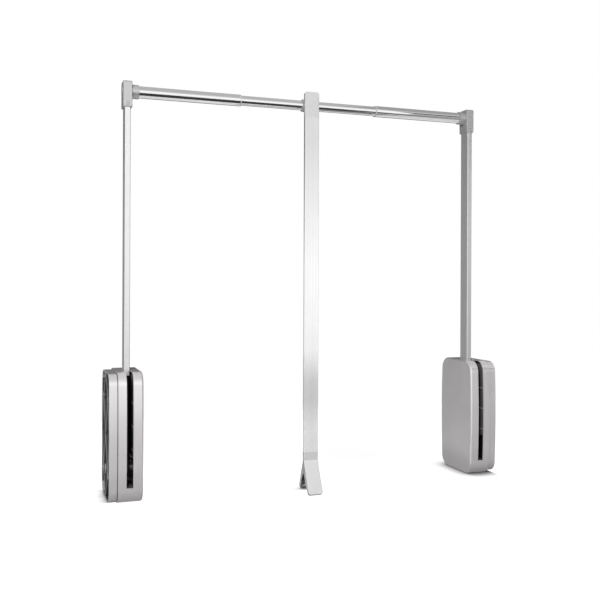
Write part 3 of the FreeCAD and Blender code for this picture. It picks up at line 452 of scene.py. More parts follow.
@dataclass(frozen=True)
class Finish:
    """What every finish has: its slot, colour and gloss, how its edges and skin vary, and its
    painted shade in creases.

    shade_spread says how dark and how light the shade mask makes the colour, and gloss_spread how
    far the gloss mask moves the roughness either way.
    """

    slot: str
    colour: Colour
    roughness: float
    rubbed: Colour = (0.6, 0.6, 0.6)
    metallic: float = 0.0
    edge_radius: float = 0.0004
    dust: float = 0.12
    # painted shade in creases and gaps: its strength, and how far apart faces may stand for it
    crease_shade: float = 0.6
    crease_shade_reach: float = 0.006
    shade_spread: Span = (0.965, 1.035)
    gloss_spread: float = 0.02

    def skin(self, tree: Tree, effects: Effects) -> Skin:
        """The height, bump distance, shade mask and gloss mask of this kind of surface.

        Args:
            tree: the material's tree.
            effects: the shared groups.

        Returns:
            Height socket, bump distance in metres, shade socket, gloss socket.
        """
        raise NotImplementedError

    def dress_shader(self, shader: bpy.types.Node) -> None:
        """Set the plain values that this kind of finish has on its shader."""
        shader.inputs["Metallic"].default_value = self.metallic

    def marked(self, tree: Tree, effects: Effects, colour: Socket) -> Socket:
        """The colour with the places that differ; most finishes are the same all over."""
        return colour

    def build(self, effects: Effects) -> bpy.types.Material:
        """Make the material.

        Args:
            effects: the shared node groups.

        Returns:
            The material, named after its slot.
        """
        material, tree = blank_material(self.slot)
        height, distance, shade, gloss = self.skin(tree, effects)
        edges = effects.edges.place(tree, {"Radius": self.edge_radius})
        dust = effects.dust.place(tree, {"Amount": self.dust})["Dust"]
        shaded = tree.scaled(self.colour, tree.span(shade, 0.0, 1.0, *self.shade_spread))
        covered = self.marked(tree, effects, shaded)
        worn = tree.blend(edges["Rubbed"], covered, self.rubbed)
        # painted shade: darken the colour where neighbouring faces stand close together
        crease_shade = effects.crease_shade.place(tree, {"Reach": self.crease_shade_reach})["Crease Shade"]
        crease_share = tree.maths("MULTIPLY", crease_shade, self.crease_shade)
        dulled = tree.blend(crease_share, worn, CREASE_SHADE_COLOUR)
        colour = tree.blend(dust, dulled, DUST_COLOUR)
        rough = tree.span(gloss, 0.0, 1.0, self.roughness - self.gloss_spread,
                          self.roughness + self.gloss_spread)
        bump = tree.add("Bump", {"Height": height, "Distance": distance, "Strength": 1.0,
                                 "Normal": edges["Normal"]})
        shader = tree.add("BsdfPrincipled", {"Base Color": colour, "Roughness": rough,
                                             "Normal": bump.outputs["Normal"]})
        self.dress_shader(shader)
        tree.add("OutputMaterial", {"Surface": shader.outputs[0]})
        return material


@dataclass(frozen=True)
class Moulding(Finish):
    """Moulded plastic with a fine spark-eroded grain."""

    grain_scale: float = 1900.0
    grain_depth: float = 0.00003
    specular: float = 0.5

    def skin(self, tree: Tree, effects: Effects) -> Skin:
        """Grain for the height, and its slow drift for shade and gloss."""
        grain = effects.grain.place(tree, {"Grain Scale": self.grain_scale})
        return grain["Height"], self.grain_depth, grain["Drift"], grain["Drift"]

    def dress_shader(self, shader: bpy.types.Node) -> None:
        """Plastic with its own strength of reflection."""
        super().dress_shader(shader)
        shader.inputs["Specular IOR Level"].default_value = self.specular


@dataclass(frozen=True)
class TrayBacked(Moulding):
    """Silver lacquer over a dark moulding, which stays bare in the tray on its wall side and at its
    seam, whose dark line is also a painted shadow; the rib tops get a painted highlight.
    """

    # bare: the dark moulding in the tray, and at the seam also a painted shadow
    bare: Colour = (0.15, 0.147, 0.15)
    # rib_highlight: a painted highlight on the tops of the ribs
    rib_highlight: Colour = (0.42, 0.415, 0.42)

    def marked(self, tree: Tree, effects: Effects, colour: Socket) -> Socket:
        """The lacquer's colour, the bare moulding in the tray and at the seam, whose dark line is
        also a painted shadow, and painted highlights on the rib tops.

        Args:
            tree: the material's tree.
            effects: the shared groups.
            colour: the shaded colour.

        Returns:
            The colour with those places.
        """
        middle = (CAD_BOX[0].x + CAD_BOX[1].x) / 2
        masks = effects.tray.place(tree, {"Middle": middle})
        dull = tree.blend(masks["Bare"], colour, self.bare)
        return tree.blend(masks["Rib Highlights"], dull, self.rib_highlight)


@dataclass(frozen=True)
class LedgedChannel(Moulding):
    """Dark moulding with painted light: side walls painted paler as if lit, and painted highlights
    on its ledges.

    The lowest ledge is at the height first, the others follow at the pitch, and each reaches half
    to either side. A face whose normal passes side_limit belongs to a side wall.
    """

    # painted light: wall is the side walls as if lit, ledge the painted highlight on the ledges
    wall: Colour = (0.085, 0.082, 0.083)
    ledge: Colour = (0.22, 0.215, 0.215)
    ledges: int = 3
    first: float = 0.0432
    pitch: float = 0.048
    half: float = 0.0015
    side_limit: float = 0.8

    def marked(self, tree: Tree, effects: Effects, colour: Socket) -> Socket:
        """The moulding's colour, with side walls painted paler as if lit and painted highlights on
        the ledges.

        Args:
            tree: the material's tree.
            effects: the shared groups, not used here.
            colour: the shaded colour.

        Returns:
            The colour with those places.
        """
        coordinates = tree.add("TexCoord").outputs
        height = tree.part(coordinates["Object"], "Z")
        across = tree.maths("ABSOLUTE", tree.part(coordinates["Normal"], "X"))
        aside = tree.maths("GREATER_THAN", across, self.side_limit)
        lit_walled = tree.blend(aside, colour, self.wall)
        mask = tree.maths("COMPARE", height, self.first, self.half)
        for step in range(1, self.ledges):
            near = tree.maths("COMPARE", height, self.first + step * self.pitch, self.half)
            mask = tree.maths("MAXIMUM", mask, near)
        return tree.blend(mask, lit_walled, self.ledge)


@dataclass(frozen=True)
class ForkMoulding(Moulding):
    """The pull's moulding with painted shade: dark inside its fork and at its feet, darker on its
    narrow sides and towards its top.

    A face whose normal passes side_limit belongs to a narrow side, which gets the painted shade
    side, and one whose normal is under down_limit faces down. Those turn from the painted shade
    under to the painted shade foot from foot_top down over foot_fade. crown_shade is the share of
    brightness that the painted shade leaves above crown_shade_span, where the bar's head is.
    """

    # painted shade: under in the fork, foot at the feet, side on the narrow sides
    under: Colour = (0.02, 0.02, 0.02)
    foot: Colour = (0.22, 0.22, 0.22)
    foot_top: float = -0.058
    foot_fade: float = 0.006
    side: Colour = (0.46, 0.455, 0.46)
    crown_shade: float = 0.84
    crown_shade_span: Span = (0.5, 0.7)
    side_limit: float = 0.85
    down_limit: float = -0.06

    def marked(self, tree: Tree, effects: Effects, colour: Socket) -> Socket:
        """The moulding's colour with painted shade: darker at its top and sides, dark on what faces
        down.

        Args:
            tree: the material's tree.
            effects: the shared groups, not used here.
            colour: the shaded colour.

        Returns:
            The colour with those places.
        """
        coordinates = tree.add("TexCoord").outputs
        height = tree.part(coordinates["Object"], "Z")
        crown_shaded = tree.scaled(colour, tree.span(height, *self.crown_shade_span, 1.0, self.crown_shade))
        across = tree.maths("ABSOLUTE", tree.part(coordinates["Normal"], "X"))
        aside = tree.maths("GREATER_THAN", across, self.side_limit)
        down = tree.maths("LESS_THAN", tree.part(coordinates["Normal"], "Z"), self.down_limit)
        low = tree.span(height, self.foot_top, self.foot_top - self.foot_fade)
        inside = tree.blend(low, self.under, self.foot)
        return tree.blend(down, tree.blend(aside, crown_shaded, self.side), inside)


@dataclass(frozen=True)
class DrawnMetal(Finish):
    """Extruded or drawn metal whose fine lines run along one direction."""

    stretch: Place = (2600.0, 2600.0, 9.0)
    line_depth: float = 0.000004
    smear_scale: float = 22.0
    coat: float = 0.0
    coat_roughness: float = 0.2

    def skin(self, tree: Tree, effects: Effects) -> Skin:
        """Lines for height and shade, and smears for gloss.

        Args:
            tree: the material's tree.
            effects: the shared groups.

        Returns:
            Height socket, bump distance in metres, shade socket, gloss socket.
        """
        lines = effects.lines.place(tree, {"Stretch": self.stretch})
        marks = effects.marks.place(tree, {"Scale": self.smear_scale})
        return lines["Height"], self.line_depth, lines["Line"], marks["Smear"]

    def dress_shader(self, shader: bpy.types.Node) -> None:
        """Metal under a thin clear coat.

        Args:
            shader: the material's shader.
        """
        super().dress_shader(shader)
        shader.inputs["Coat Weight"].default_value = self.coat
        shader.inputs["Coat Roughness"].default_value = self.coat_roughness


@dataclass(frozen=True)
class SlotArm(DrawnMetal):
    """The arm's enamel, with painted shade on its front from its foot up to slot_shade_top, where
    it stands in the slot's shadow.

    A face whose normal is under front_limit belongs to the front.
    """

    # painted shade on the part of the front that stands in the slot
    slot_shade: Colour = (0.012, 0.012, 0.013)
    slot_shade_top: float = 0.192
    front_limit: float = -0.6

    def marked(self, tree: Tree, effects: Effects, colour: Socket) -> Socket:
        """The enamel's colour, and the painted shade on the front where it stands in the slot.

        Args:
            tree: the material's tree.
            effects: the shared groups, not used here.
            colour: the shaded colour.

        Returns:
            The colour with those places.
        """
        coordinates = tree.add("TexCoord").outputs
        low = tree.maths("LESS_THAN", tree.part(coordinates["Object"], "Z"), self.slot_shade_top)
        front = tree.maths("LESS_THAN", tree.part(coordinates["Normal"], "Y"), self.front_limit)
        return tree.blend(tree.maths("MULTIPLY", low, front), colour, self.slot_shade)


@dataclass(frozen=True)
class ShadedBar(DrawnMetal):
    """A drawn bar with painted shade: a darker band above the grip, and darker towards its top.

    dull_height is the middle of the band above the grip. Within the first number of
    dull_span from there the bar is fully darkened, and at the second it is bright again.
    top_span is where the painted shade towards the top begins and ends, and side_limit is how far a
    narrow side's normal goes.
    """

    shade_spread: Span = (0.93, 1.05)
    # painted shade: a darker band above the grip, and darker at the top and on the upper sides
    dull_height: float = 0.145
    dull_span: Span = (0.02, 0.09)
    dull: float = 0.72
    top_span: Span = (0.42, 0.70)
    top_shade: float = 0.70
    side_shade: float = 0.42
    side_limit: float = 0.8

    def marked(self, tree: Tree, effects: Effects, colour: Socket) -> Socket:
        """The metal's colour, with painted shade above the grip, at the top and on the upper sides.

        Args:
            tree: the material's tree.
            effects: the shared groups, not used here.
            colour: the shaded colour.

        Returns:
            The colour with those places.
        """
        coordinates = tree.add("TexCoord").outputs
        height = tree.part(coordinates["Object"], "Z")
        away = tree.maths("ABSOLUTE", tree.maths("SUBTRACT", height, self.dull_height))
        low = tree.span(away, *self.dull_span, self.dull, 1.0)
        high = tree.span(height, *self.top_span, 1.0, self.top_shade)
        across = tree.maths("ABSOLUTE", tree.part(coordinates["Normal"], "X"))
        aside = tree.maths("GREATER_THAN", across, self.side_limit)
        upper = tree.span(height, *self.top_span, 0.0, 1.0 - self.side_shade)
        dulled = tree.maths("SUBTRACT", 1.0, tree.maths("MULTIPLY", aside, upper))
        share = tree.maths("MULTIPLY", tree.maths("MULTIPLY", low, high), dulled)
        return tree.scaled(colour, share)


@dataclass(frozen=True)
class PlatedMetal(Finish):
    """Smooth plated or cast metal with faint smears."""

    shade_spread: Span = (0.985, 1.015)
    gloss_spread: float = 0.012
    ripple_scale: float = 300.0
    ripple_depth: float = 0.0000006
    drift_scale: float = 9.0
    smear_scale: float = 14.0

    def skin(self, tree: Tree, effects: Effects) -> Skin:
        """A very shallow orange peel for height, its drift for shade and smears for gloss.

        Args:
            tree: the material's tree.
            effects: the shared groups.

        Returns:
            Height socket, bump distance in metres, shade socket, gloss socket.
        """
        grain = effects.grain.place(tree, {"Grain Scale": self.ripple_scale,
                                           "Drift Scale": self.drift_scale})
        marks = effects.marks.place(tree, {"Scale": self.smear_scale})
        return grain["Height"], self.ripple_depth, grain["Drift"], marks["Smear"]


FINISHES: tuple[Finish, ...] = (
    TrayBacked("base_moulding", (0.845, 0.819, 0.833), 0.31, metallic=0.8,
               grain_depth=0.000005),
    Moulding("cover_moulding", (0.865, 0.837, 0.851), 0.305, metallic=0.8,
             grain_depth=0.000005),
    LedgedChannel("channel_moulding", (0.018, 0.018, 0.018), 0.6, rubbed=(0.16, 0.16, 0.16),
                  specular=0.12, crease_shade=0.4),
    Moulding("head_moulding", (0.52, 0.51, 0.515), 0.34, metallic=0.7, grain_scale=2400.0,
             grain_depth=0.00001),
    ForkMoulding("pull_moulding", (0.69, 0.685, 0.69), 0.38, metallic=0.5, grain_scale=2400.0,
                 grain_depth=0.00001, crease_shade=0.9, crease_shade_reach=0.012),
    Moulding("sleeve_grey", (0.30, 0.30, 0.30), 0.45),
    Moulding("glide_grey", (0.42, 0.42, 0.42), 0.45),
    Moulding("bearing_nylon", (0.72, 0.71, 0.66), 0.4),
    Moulding("carriage_moulding", (0.06, 0.06, 0.062), 0.45),
    Moulding("stop_rubber", (0.022, 0.022, 0.022), 0.75, grain_scale=1200.0),
    SlotArm("arm_enamel", (0.84, 0.84, 0.84), 0.30, metallic=0.87, coat=0.2,
            rubbed=(0.84, 0.84, 0.84), line_depth=0.000001, edge_radius=0.0002, crease_shade=0.3),
    ShadedBar("bar_anodised", (0.88, 0.87, 0.87), 0.30, metallic=0.5,
               rubbed=(0.86, 0.86, 0.86), stretch=(650.0, 650.0, 2.0), edge_radius=0.0002),
    DrawnMetal("damper_body", (0.16, 0.16, 0.165), 0.3, metallic=1.0),
    DrawnMetal("spring_steel", (0.36, 0.36, 0.37), 0.35, metallic=1.0,
               stretch=(1500.0, 1500.0, 1500.0)),
    DrawnMetal("ground_steel", (0.62, 0.62, 0.63), 0.25, metallic=1.0,
               stretch=(9.0, 2600.0, 2600.0)),
    PlatedMetal("rail_chrome", (0.92, 0.92, 0.92), 0.06, metallic=1.0,
                rubbed=(0.92, 0.92, 0.92), edge_radius=0.0002),
    PlatedMetal("zinc_screws", (0.60, 0.60, 0.605), 0.36, metallic=0.7, edge_radius=0.0001),
    PlatedMetal("cast_zinc", (0.06, 0.06, 0.062), 0.42, metallic=0.4),
)


class Paintbox:
    """Every finish's material by its slot's name."""

    def __init__(self, effects: Effects) -> None:
        """Build all the materials.

        Args:
            effects: the shared node groups.
        """
        self.materials = {finish.slot: finish.build(effects) for finish in FINISHES}

    def dress(self, piece: bpy.types.Object, slot: str) -> None:
        """Give every face of a piece the slot's material.

        Args:
            piece: a mesh object.
            slot: the slot's name.
        """
        material = self.materials[slot]
        if not piece.material_slots:
            piece.data.materials.append(material)
        for place in piece.material_slots:
            place.material = material
        log.info("%s: %s", piece.name, slot)

    def dress_node(self, name: str) -> None:
        """Give a CAD node the material of its slot in the record.

        Args:
            name: the node's name.
        """
        slot = next(part["material_slot"] for part in frame["record"]["subparts"]
                    if part["node"] == name)
        self.dress(frame["nodes"][name], slot)


# ---- mesh building ------------------------------------------------------------------------------


def keep_mesh(name: str, shape: bmesh.types.BMesh) -> bpy.types.Object:
    """Turn a bmesh into a linked object with smooth faces and sharp creases.

    Args:
        name: the object's name.
        shape: the bmesh, which is freed.

    Returns:
        The new object.
    """
    bmesh.ops.recalc_face_normals(shape, faces=shape.faces)
    for face in shape.faces:
        face.smooth = True
    for edge in shape.edges:
        edge.smooth = edge.is_manifold and edge.calc_face_angle(0.0) < SMOOTH_BELOW
    mesh = bpy.data.meshes.new(name)
    shape.to_mesh(mesh)
    shape.free()
    piece = bpy.data.objects.new(name, mesh)
    bpy.context.scene.collection.objects.link(piece)
    return piece


def stretched_ring(shape: bmesh.types.BMesh, first: Ring, second: Ring) -> None:
    """Join two rings of as many points with a band of faces.

    Args:
        shape: the bmesh that holds both rings.
        first: the points of one ring.
        second: the points of the other ring.
    """
    count = len(first)
    for index in range(count):
        after = (index + 1) % count
        shape.faces.new((first[index], first[after], second[after], second[index]))


def flat_sheet(name: str, size: Span, centre: Place = (0.0, 0.0, 0.0)) -> bpy.types.Object:
    """Make a level rectangle that faces up.

    Args:
        name: the object's name.
        size: its length along X and Y.
        centre: where its middle is.

    Returns:
        The new object.
    """
    shape = bmesh.new()
    x, y, z = centre
    corners = ((-1, -1), (1, -1), (1, 1), (-1, 1))
    shape.faces.new([shape.verts.new((x + a * size[0] / 2, y + b * size[1] / 2, z))
                     for a, b in corners])
    return keep_mesh(name, shape)


# ---- small hardware -----------------------------------------------------------------------------


@dataclass
class CoilSpring:
    """A round-wire compression spring with closed ends, built in the space of its solid."""

    side: Side
    wire: float = 0.0016
    turns: float = 15.0
    closed_turns: float = 1.0
    steps_a_turn: int = 28
    wire_points: int = 10
    lift_range: float = 0.0369

    def rise(self, share: float, height: float) -> float:
        """How far up the middle of the wire is after a share of its turns.

        Args:
            share: how much of the wire's turns has passed, from 0 to 1.
            height: how far up it is after all of them.

        Returns:
            The height in metres.
        """
        turn = share * self.turns
        closed = self.closed_turns * self.wire
        if turn < self.closed_turns:
            return turn * self.wire
        if turn > self.turns - self.closed_turns:
            return height - (self.turns - turn) * self.wire
        free = self.turns - 2 * self.closed_turns
        return closed + (turn - self.closed_turns) / free * (height - 2 * closed)

    def build(self) -> bpy.types.Object:
        """Wind the wire.

        Returns:
            The spring's mesh object.
        """
        low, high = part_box(f"{self.side.value}_spring")
        centre = (low + high) / 2
        radius = (high.x - low.x) / 2 - self.wire / 2
        height = high.z - low.z - self.wire
        start = low.z + self.wire / 2
        shape = bmesh.new()
        rings = []
        count = int(self.turns * self.steps_a_turn)
        for step in range(count + 1):
            share = step / count
            angle = share * self.turns * math.tau
            out = Vector((math.cos(angle), math.sin(angle), 0.0))
            middle = Vector((centre.x, centre.y, start + self.rise(share, height)))
            middle += out * radius
            ring = []
            for point in range(self.wire_points):
                around = point / self.wire_points * math.tau
                offset = out * math.cos(around) + Vector((0.0, 0.0, math.sin(around)))
                ring.append(shape.verts.new(middle + offset * self.wire / 2))
            rings.append(ring)
        for first, second in zip(rings, rings[1:]):
            stretched_ring(shape, first, second)
        shape.faces.new(rings[0])
        shape.faces.new(rings[-1])
        return keep_mesh(f"{self.side.value}_coil_spring", shape)

    def fit(self, paints: Paintbox) -> None:
        """Wind the spring, dress it and attach it to its side's body.

        Args:
            paints: the materials.
        """
        name = self.side.value
        coil = self.build()
        paints.dress(coil, "spring_steel")
        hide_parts(f"{name}_spring")
        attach(coil, f"{name}_side")
        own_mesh(coil)
        log.info("%s: %d turns of %.1f mm wire", coil.name, self.turns, self.wire * 1000)


@dataclass(frozen=True)
class ScrewSize:
    """The sizes of a small screw: its head, and its shank below the head."""

    head_radius: float
    head_tall: float
    shank_radius: float
    shank_length: float
    countersunk: bool = False


@dataclass
class CrossScrew:
    """A small screw with a cross recess, turned from its profile.

    The outlines of both kinds of head are shares of the head's radius and height, from its top
    down. The cross is given in shares of the same two, and CROSS_TAPER says how much narrower its
    bottom is along and across each bar.
    """

    TOP = (0.45, 0.02)
    COUNTERSUNK = ((0.97, 0.02), (1.0, 0.06))
    PAN = ((0.8, 0.10), (0.95, 0.35), (1.0, 0.7), (0.98, 1.0))
    THREAD_CORE = 0.78
    CROSS_REACH, CROSS_HALF, CROSS_DEEP = 0.62, 0.13, 0.75
    CROSS_TAPER = (0.35, 0.7)

    name: str
    seat: Vector
    axis: Axis
    size: ScrewSize
    segments: int = 36
    pitch: float = 0.0009

    def profile(self) -> list[Span]:
        """Draw the half section from the head's top down to the tip.

        Returns:
            Its points, each a radius and a height.
        """
        radius, tall, shank = self.size.head_radius, self.size.head_tall, self.size.shank_radius
        head = (self.TOP, *(self.COUNTERSUNK if self.size.countersunk else self.PAN))
        points = [(0.0, 0.0), *((radius * out, -tall * down) for out, down in head),
                  (shank, -tall)]
        depth = tall + self.pitch
        end = tall + self.size.shank_length
        core = shank * self.THREAD_CORE
        while depth + self.pitch < end - shank:
            points += [(core, -depth), (shank, -depth - self.pitch / 2)]
            depth += self.pitch
        points += [(core, -depth), (0.0, -end)]
        return points

    def turned(self) -> bmesh.types.BMesh:
        """Turn the screw's body from its profile about Z, with its top at the origin.

        Returns:
            The body, closed at its top and tip.
        """
        shape = bmesh.new()
        profile = self.profile()
        turns = [index / self.segments * math.tau for index in range(self.segments)]
        rings = [[shape.verts.new((radius * math.cos(turn), radius * math.sin(turn), height))
                  for turn in turns] for radius, height in profile[1:-1]]
        for first, second in zip(rings, rings[1:]):
            stretched_ring(shape, first, second)
        for ring, (radius, height) in ((rings[0], profile[0]), (rings[-1], profile[-1])):
            tip = shape.verts.new((0.0, 0.0, height))
            for index in range(self.segments):
                shape.faces.new((tip, ring[index], ring[(index + 1) % self.segments]))
        bmesh.ops.recalc_face_normals(shape, faces=shape.faces)
        return shape

    def cross(self) -> bpy.types.Object:
        """Make the tapered cross that the recess is cut with.

        Returns:
            The cross's mesh object.
        """
        shape = bmesh.new()
        reach = self.size.head_radius * self.CROSS_REACH
        half = self.size.head_radius * self.CROSS_HALF
        deep = self.size.head_tall * self.CROSS_DEEP
        along, across = self.CROSS_TAPER
        for turn in (0.0, math.pi / 2):
            spin = Matrix.Rotation(turn, 3, "Z")
            top = [(reach, half), (-reach, half), (-reach, -half), (reach, -half)]
            upper = [shape.verts.new(spin @ Vector((x, y, deep))) for x, y in top]
            lower = [shape.verts.new(spin @ Vector((x * along, y * across, -deep)))
                     for x, y in top]
            stretched_ring(shape, upper, lower)
            shape.faces.new(upper)
            shape.faces.new(lower)
        return keep_mesh(self.name + "_cutter", shape)

    def build(self) -> bpy.types.Object:
        """Turn the screw, cut its recess and set it in its seat.

        Returns:
            The screw's mesh object.
        """
        blank = keep_mesh(self.name, self.turned())
        cutter = self.cross()
        recess = blank.modifiers.new("recess", "BOOLEAN")
        recess.operation = "DIFFERENCE"
        recess.solver = "EXACT"
        recess.use_self = True
        recess.object = cutter
        graph = bpy.context.evaluated_depsgraph_get()
        cut = bpy.data.meshes.new_from_object(blank.evaluated_get(graph))
        blank.modifiers.clear()
        blank.data = cut
        bpy.data.objects.remove(cutter)
        turn = Vector(self.axis.value).to_track_quat("Z", "Y").to_matrix().to_4x4()
        blank.data.transform(Matrix.Translation(self.seat) @ turn)
        return blank


# ---- sub-assemblies -----------------------------------------------------------------------------


@dataclass
class Housing:
    """One wall housing: ribbed base plate, slotted cover, channel, stops and its mechanism."""

    side: Side
    seam_screw: ScrewSize = ScrewSize(0.0030, 0.0016, 0.0015, 0.0094, countersunk=True)

    NODES = ("base_plate", "housing_cover", "channel", "pivot_pin", "pivot_washers",
             "damper_cylinder", "spring_guide", "rest_stop", "down_stop", "spring_carriage",
             "damper_carriage", "damper_rod")

    def dress(self, paints: Paintbox) -> None:
        """Dress the CAD pieces and put in the spring and seam screws.

        Args:
            paints: the materials.
        """
        for part in self.NODES:
            paints.dress_node(f"{self.side.value}_{part}")
        CoilSpring(self.side).fit(paints)
        self.fit_screws(paints)
        log.info("%s housing dressed", self.side.value)

    def fit_screws(self, paints: Paintbox) -> None:
        """Replace the seam screws' solids with countersunk cross-recess screws.

        Args:
            paints: the materials.
        """
        node_name = f"{self.side.value}_seam_screws"
        points = [vertex.co for vertex in frame["nodes"][node_name].data.vertices]
        middle = sum(point.z for point in points) / len(points)
        for label, group in (("upper", [p for p in points if p.z > middle]),
                             ("lower", [p for p in points if p.z <= middle])):
            rear = max(point.y for point in group)
            x = (min(p.x for p in group) + max(p.x for p in group)) / 2
            z = (min(p.z for p in group) + max(p.z for p in group)) / 2
            piece = CrossScrew(f"{self.side.value}_seam_screw_{label}", Vector((x, rear, z)),
                               Axis.TO_REAR, self.seam_screw).build()
            paints.dress(piece, "zinc_screws")
            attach(piece, f"{self.side.value}_side")
        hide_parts(node_name)


@dataclass
class SwingArm:
    """One arm with its foot, crank, corner head, outer rail tube and end glide."""

    side: Side
    head_screw: ScrewSize = ScrewSize(0.0030, 0.00115, 0.0015, 0.0048)

    NODES = ("arm", "arm_foot", "crank_pin", "arm_rivets", "corner_head", "head_cap",
             "rail_bolt", "tube_plug", "rail_tube", "tube_glide")

    def dress(self, paints: Paintbox) -> None:
        """Dress the CAD pieces and put in the arm's screw.

        Args:
            paints: the materials.
        """
        for part in self.NODES:
            paints.dress_node(f"{self.side.value}_{part}")
        low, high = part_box(f"{self.side.value}_arm_screw")
        seat = Vector(((low.x + high.x) / 2, low.y, (low.z + high.z) / 2))
        screw = CrossScrew(f"{self.side.value}_head_screw", seat, Axis.TO_FRONT,
                           self.head_screw).build()
        paints.dress(screw, "zinc_screws")
        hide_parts(f"{self.side.value}_arm_screw")
        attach(screw, f"swing_{self.side.value}")
        log.info("%s arm dressed", self.side.value)


@dataclass
class RailMiddle:
    """The inner tube that both outer tubes slide on."""

    def dress(self, paints: Paintbox) -> None:
        """Dress the inner tube."""
        paints.dress_node("rail_inner_tube")
        log.info("rail dressed")


@dataclass
class PullBar:
    """The bar that swings the rail down, with its head, ring, screws and forked handle."""

    bar_screw: ScrewSize = ScrewSize(0.0030, 0.0015, 0.0015, 0.0030)

    NODES = ("pull_sleeve", "pull_bar_head", "pull_bar", "pull_handle")

    def dress(self, paints: Paintbox) -> None:
        """Dress the CAD pieces and put in the two bar screws.

        Args:
            paints: the materials.
        """
        for part in self.NODES:
            paints.dress_node(part)
        for place in ("upper", "lower"):
            low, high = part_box(f"bar_screw_{place}")
            seat = Vector(((low.x + high.x) / 2, high.y, (low.z + high.z) / 2))
            screw = CrossScrew(f"bar_cross_screw_{place}", seat, Axis.TO_REAR,
                               self.bar_screw).build()
            paints.dress(screw, "zinc_screws")
            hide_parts(f"bar_screw_{place}")
            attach(screw, "pull_bar")
        log.info("pull bar dressed")


# ---- studio -------------------------------------------------------------------------------------


@dataclass
class Camera:
    """The camera, level but for a slight roll, turned to the right, with its frame moved down."""

    place: Place = (-0.1867, -1.7191, 0.3858)
    turn: float = 0.3424
    roll: float = 0.0038
    lens: float = 48.79
    sensor: float = 36.0
    shift_down: float = 0.0292
    clip: Span = (0.05, 60.0)

    def build(self) -> None:
        """Make the camera and use it for the scene."""
        data = bpy.data.cameras.new("camera")
        data.lens = self.lens
        data.sensor_width = self.sensor
        data.shift_y = -self.shift_down
        data.clip_start, data.clip_end = self.clip
        camera = bpy.data.objects.new("camera", data)
        level = Matrix.Rotation(-self.turn, 4, "Z") @ Matrix.Rotation(math.pi / 2, 4, "X")
        camera.matrix_world = (Matrix.Translation(self.place) @ level
                               @ Matrix.Rotation(self.roll, 4, "Z"))
        bpy.context.scene.collection.objects.link(camera)
        bpy.context.scene.camera = camera
        log.info("camera placed")


@dataclass(frozen=True)
class Card:
    """A flat card that only reflections show."""

    name: str
    centre: Place
    size: Span
    faces: Place
    shade: float

    def build(self) -> None:
        """Make the card, seen by glossy rays alone."""
        card = flat_sheet(self.name, self.size)
        turn = Vector(self.faces).to_track_quat("Z", "Y").to_matrix().to_4x4()
        card.matrix_world = Matrix.Translation(self.centre) @ turn
        material, tree = blank_material(self.name)
        glow = tree.add("Emission", {"Color": (self.shade,) * 3, "Strength": 1.0})
        tree.add("OutputMaterial", {"Surface": glow.outputs[0]})
        card.data.materials.append(material)
        card.visible_camera = False
        card.visible_diffuse = False
        card.visible_shadow = False
        card.visible_transmission = False


@dataclass(frozen=True)
class Lamp:
    """A soft square lamp that reflections don't show."""

    name: str
    power: float
    size: float
    place: Place
    aim: Place

    def build(self) -> None:
        """Make the lamp and point it."""
        light = bpy.data.lights.new(self.name, "AREA")
        light.shape = "SQUARE"
        light.size = self.size
        light.energy = self.power
        lamp = bpy.data.objects.new(self.name, light)
        way = Vector(self.aim) - Vector(self.place)
        lamp.matrix_world = (Matrix.Translation(self.place)
                             @ way.to_track_quat("-Z", "Y").to_matrix().to_4x4())
        lamp.visible_glossy = False
        bpy.context.scene.collection.objects.link(lamp)


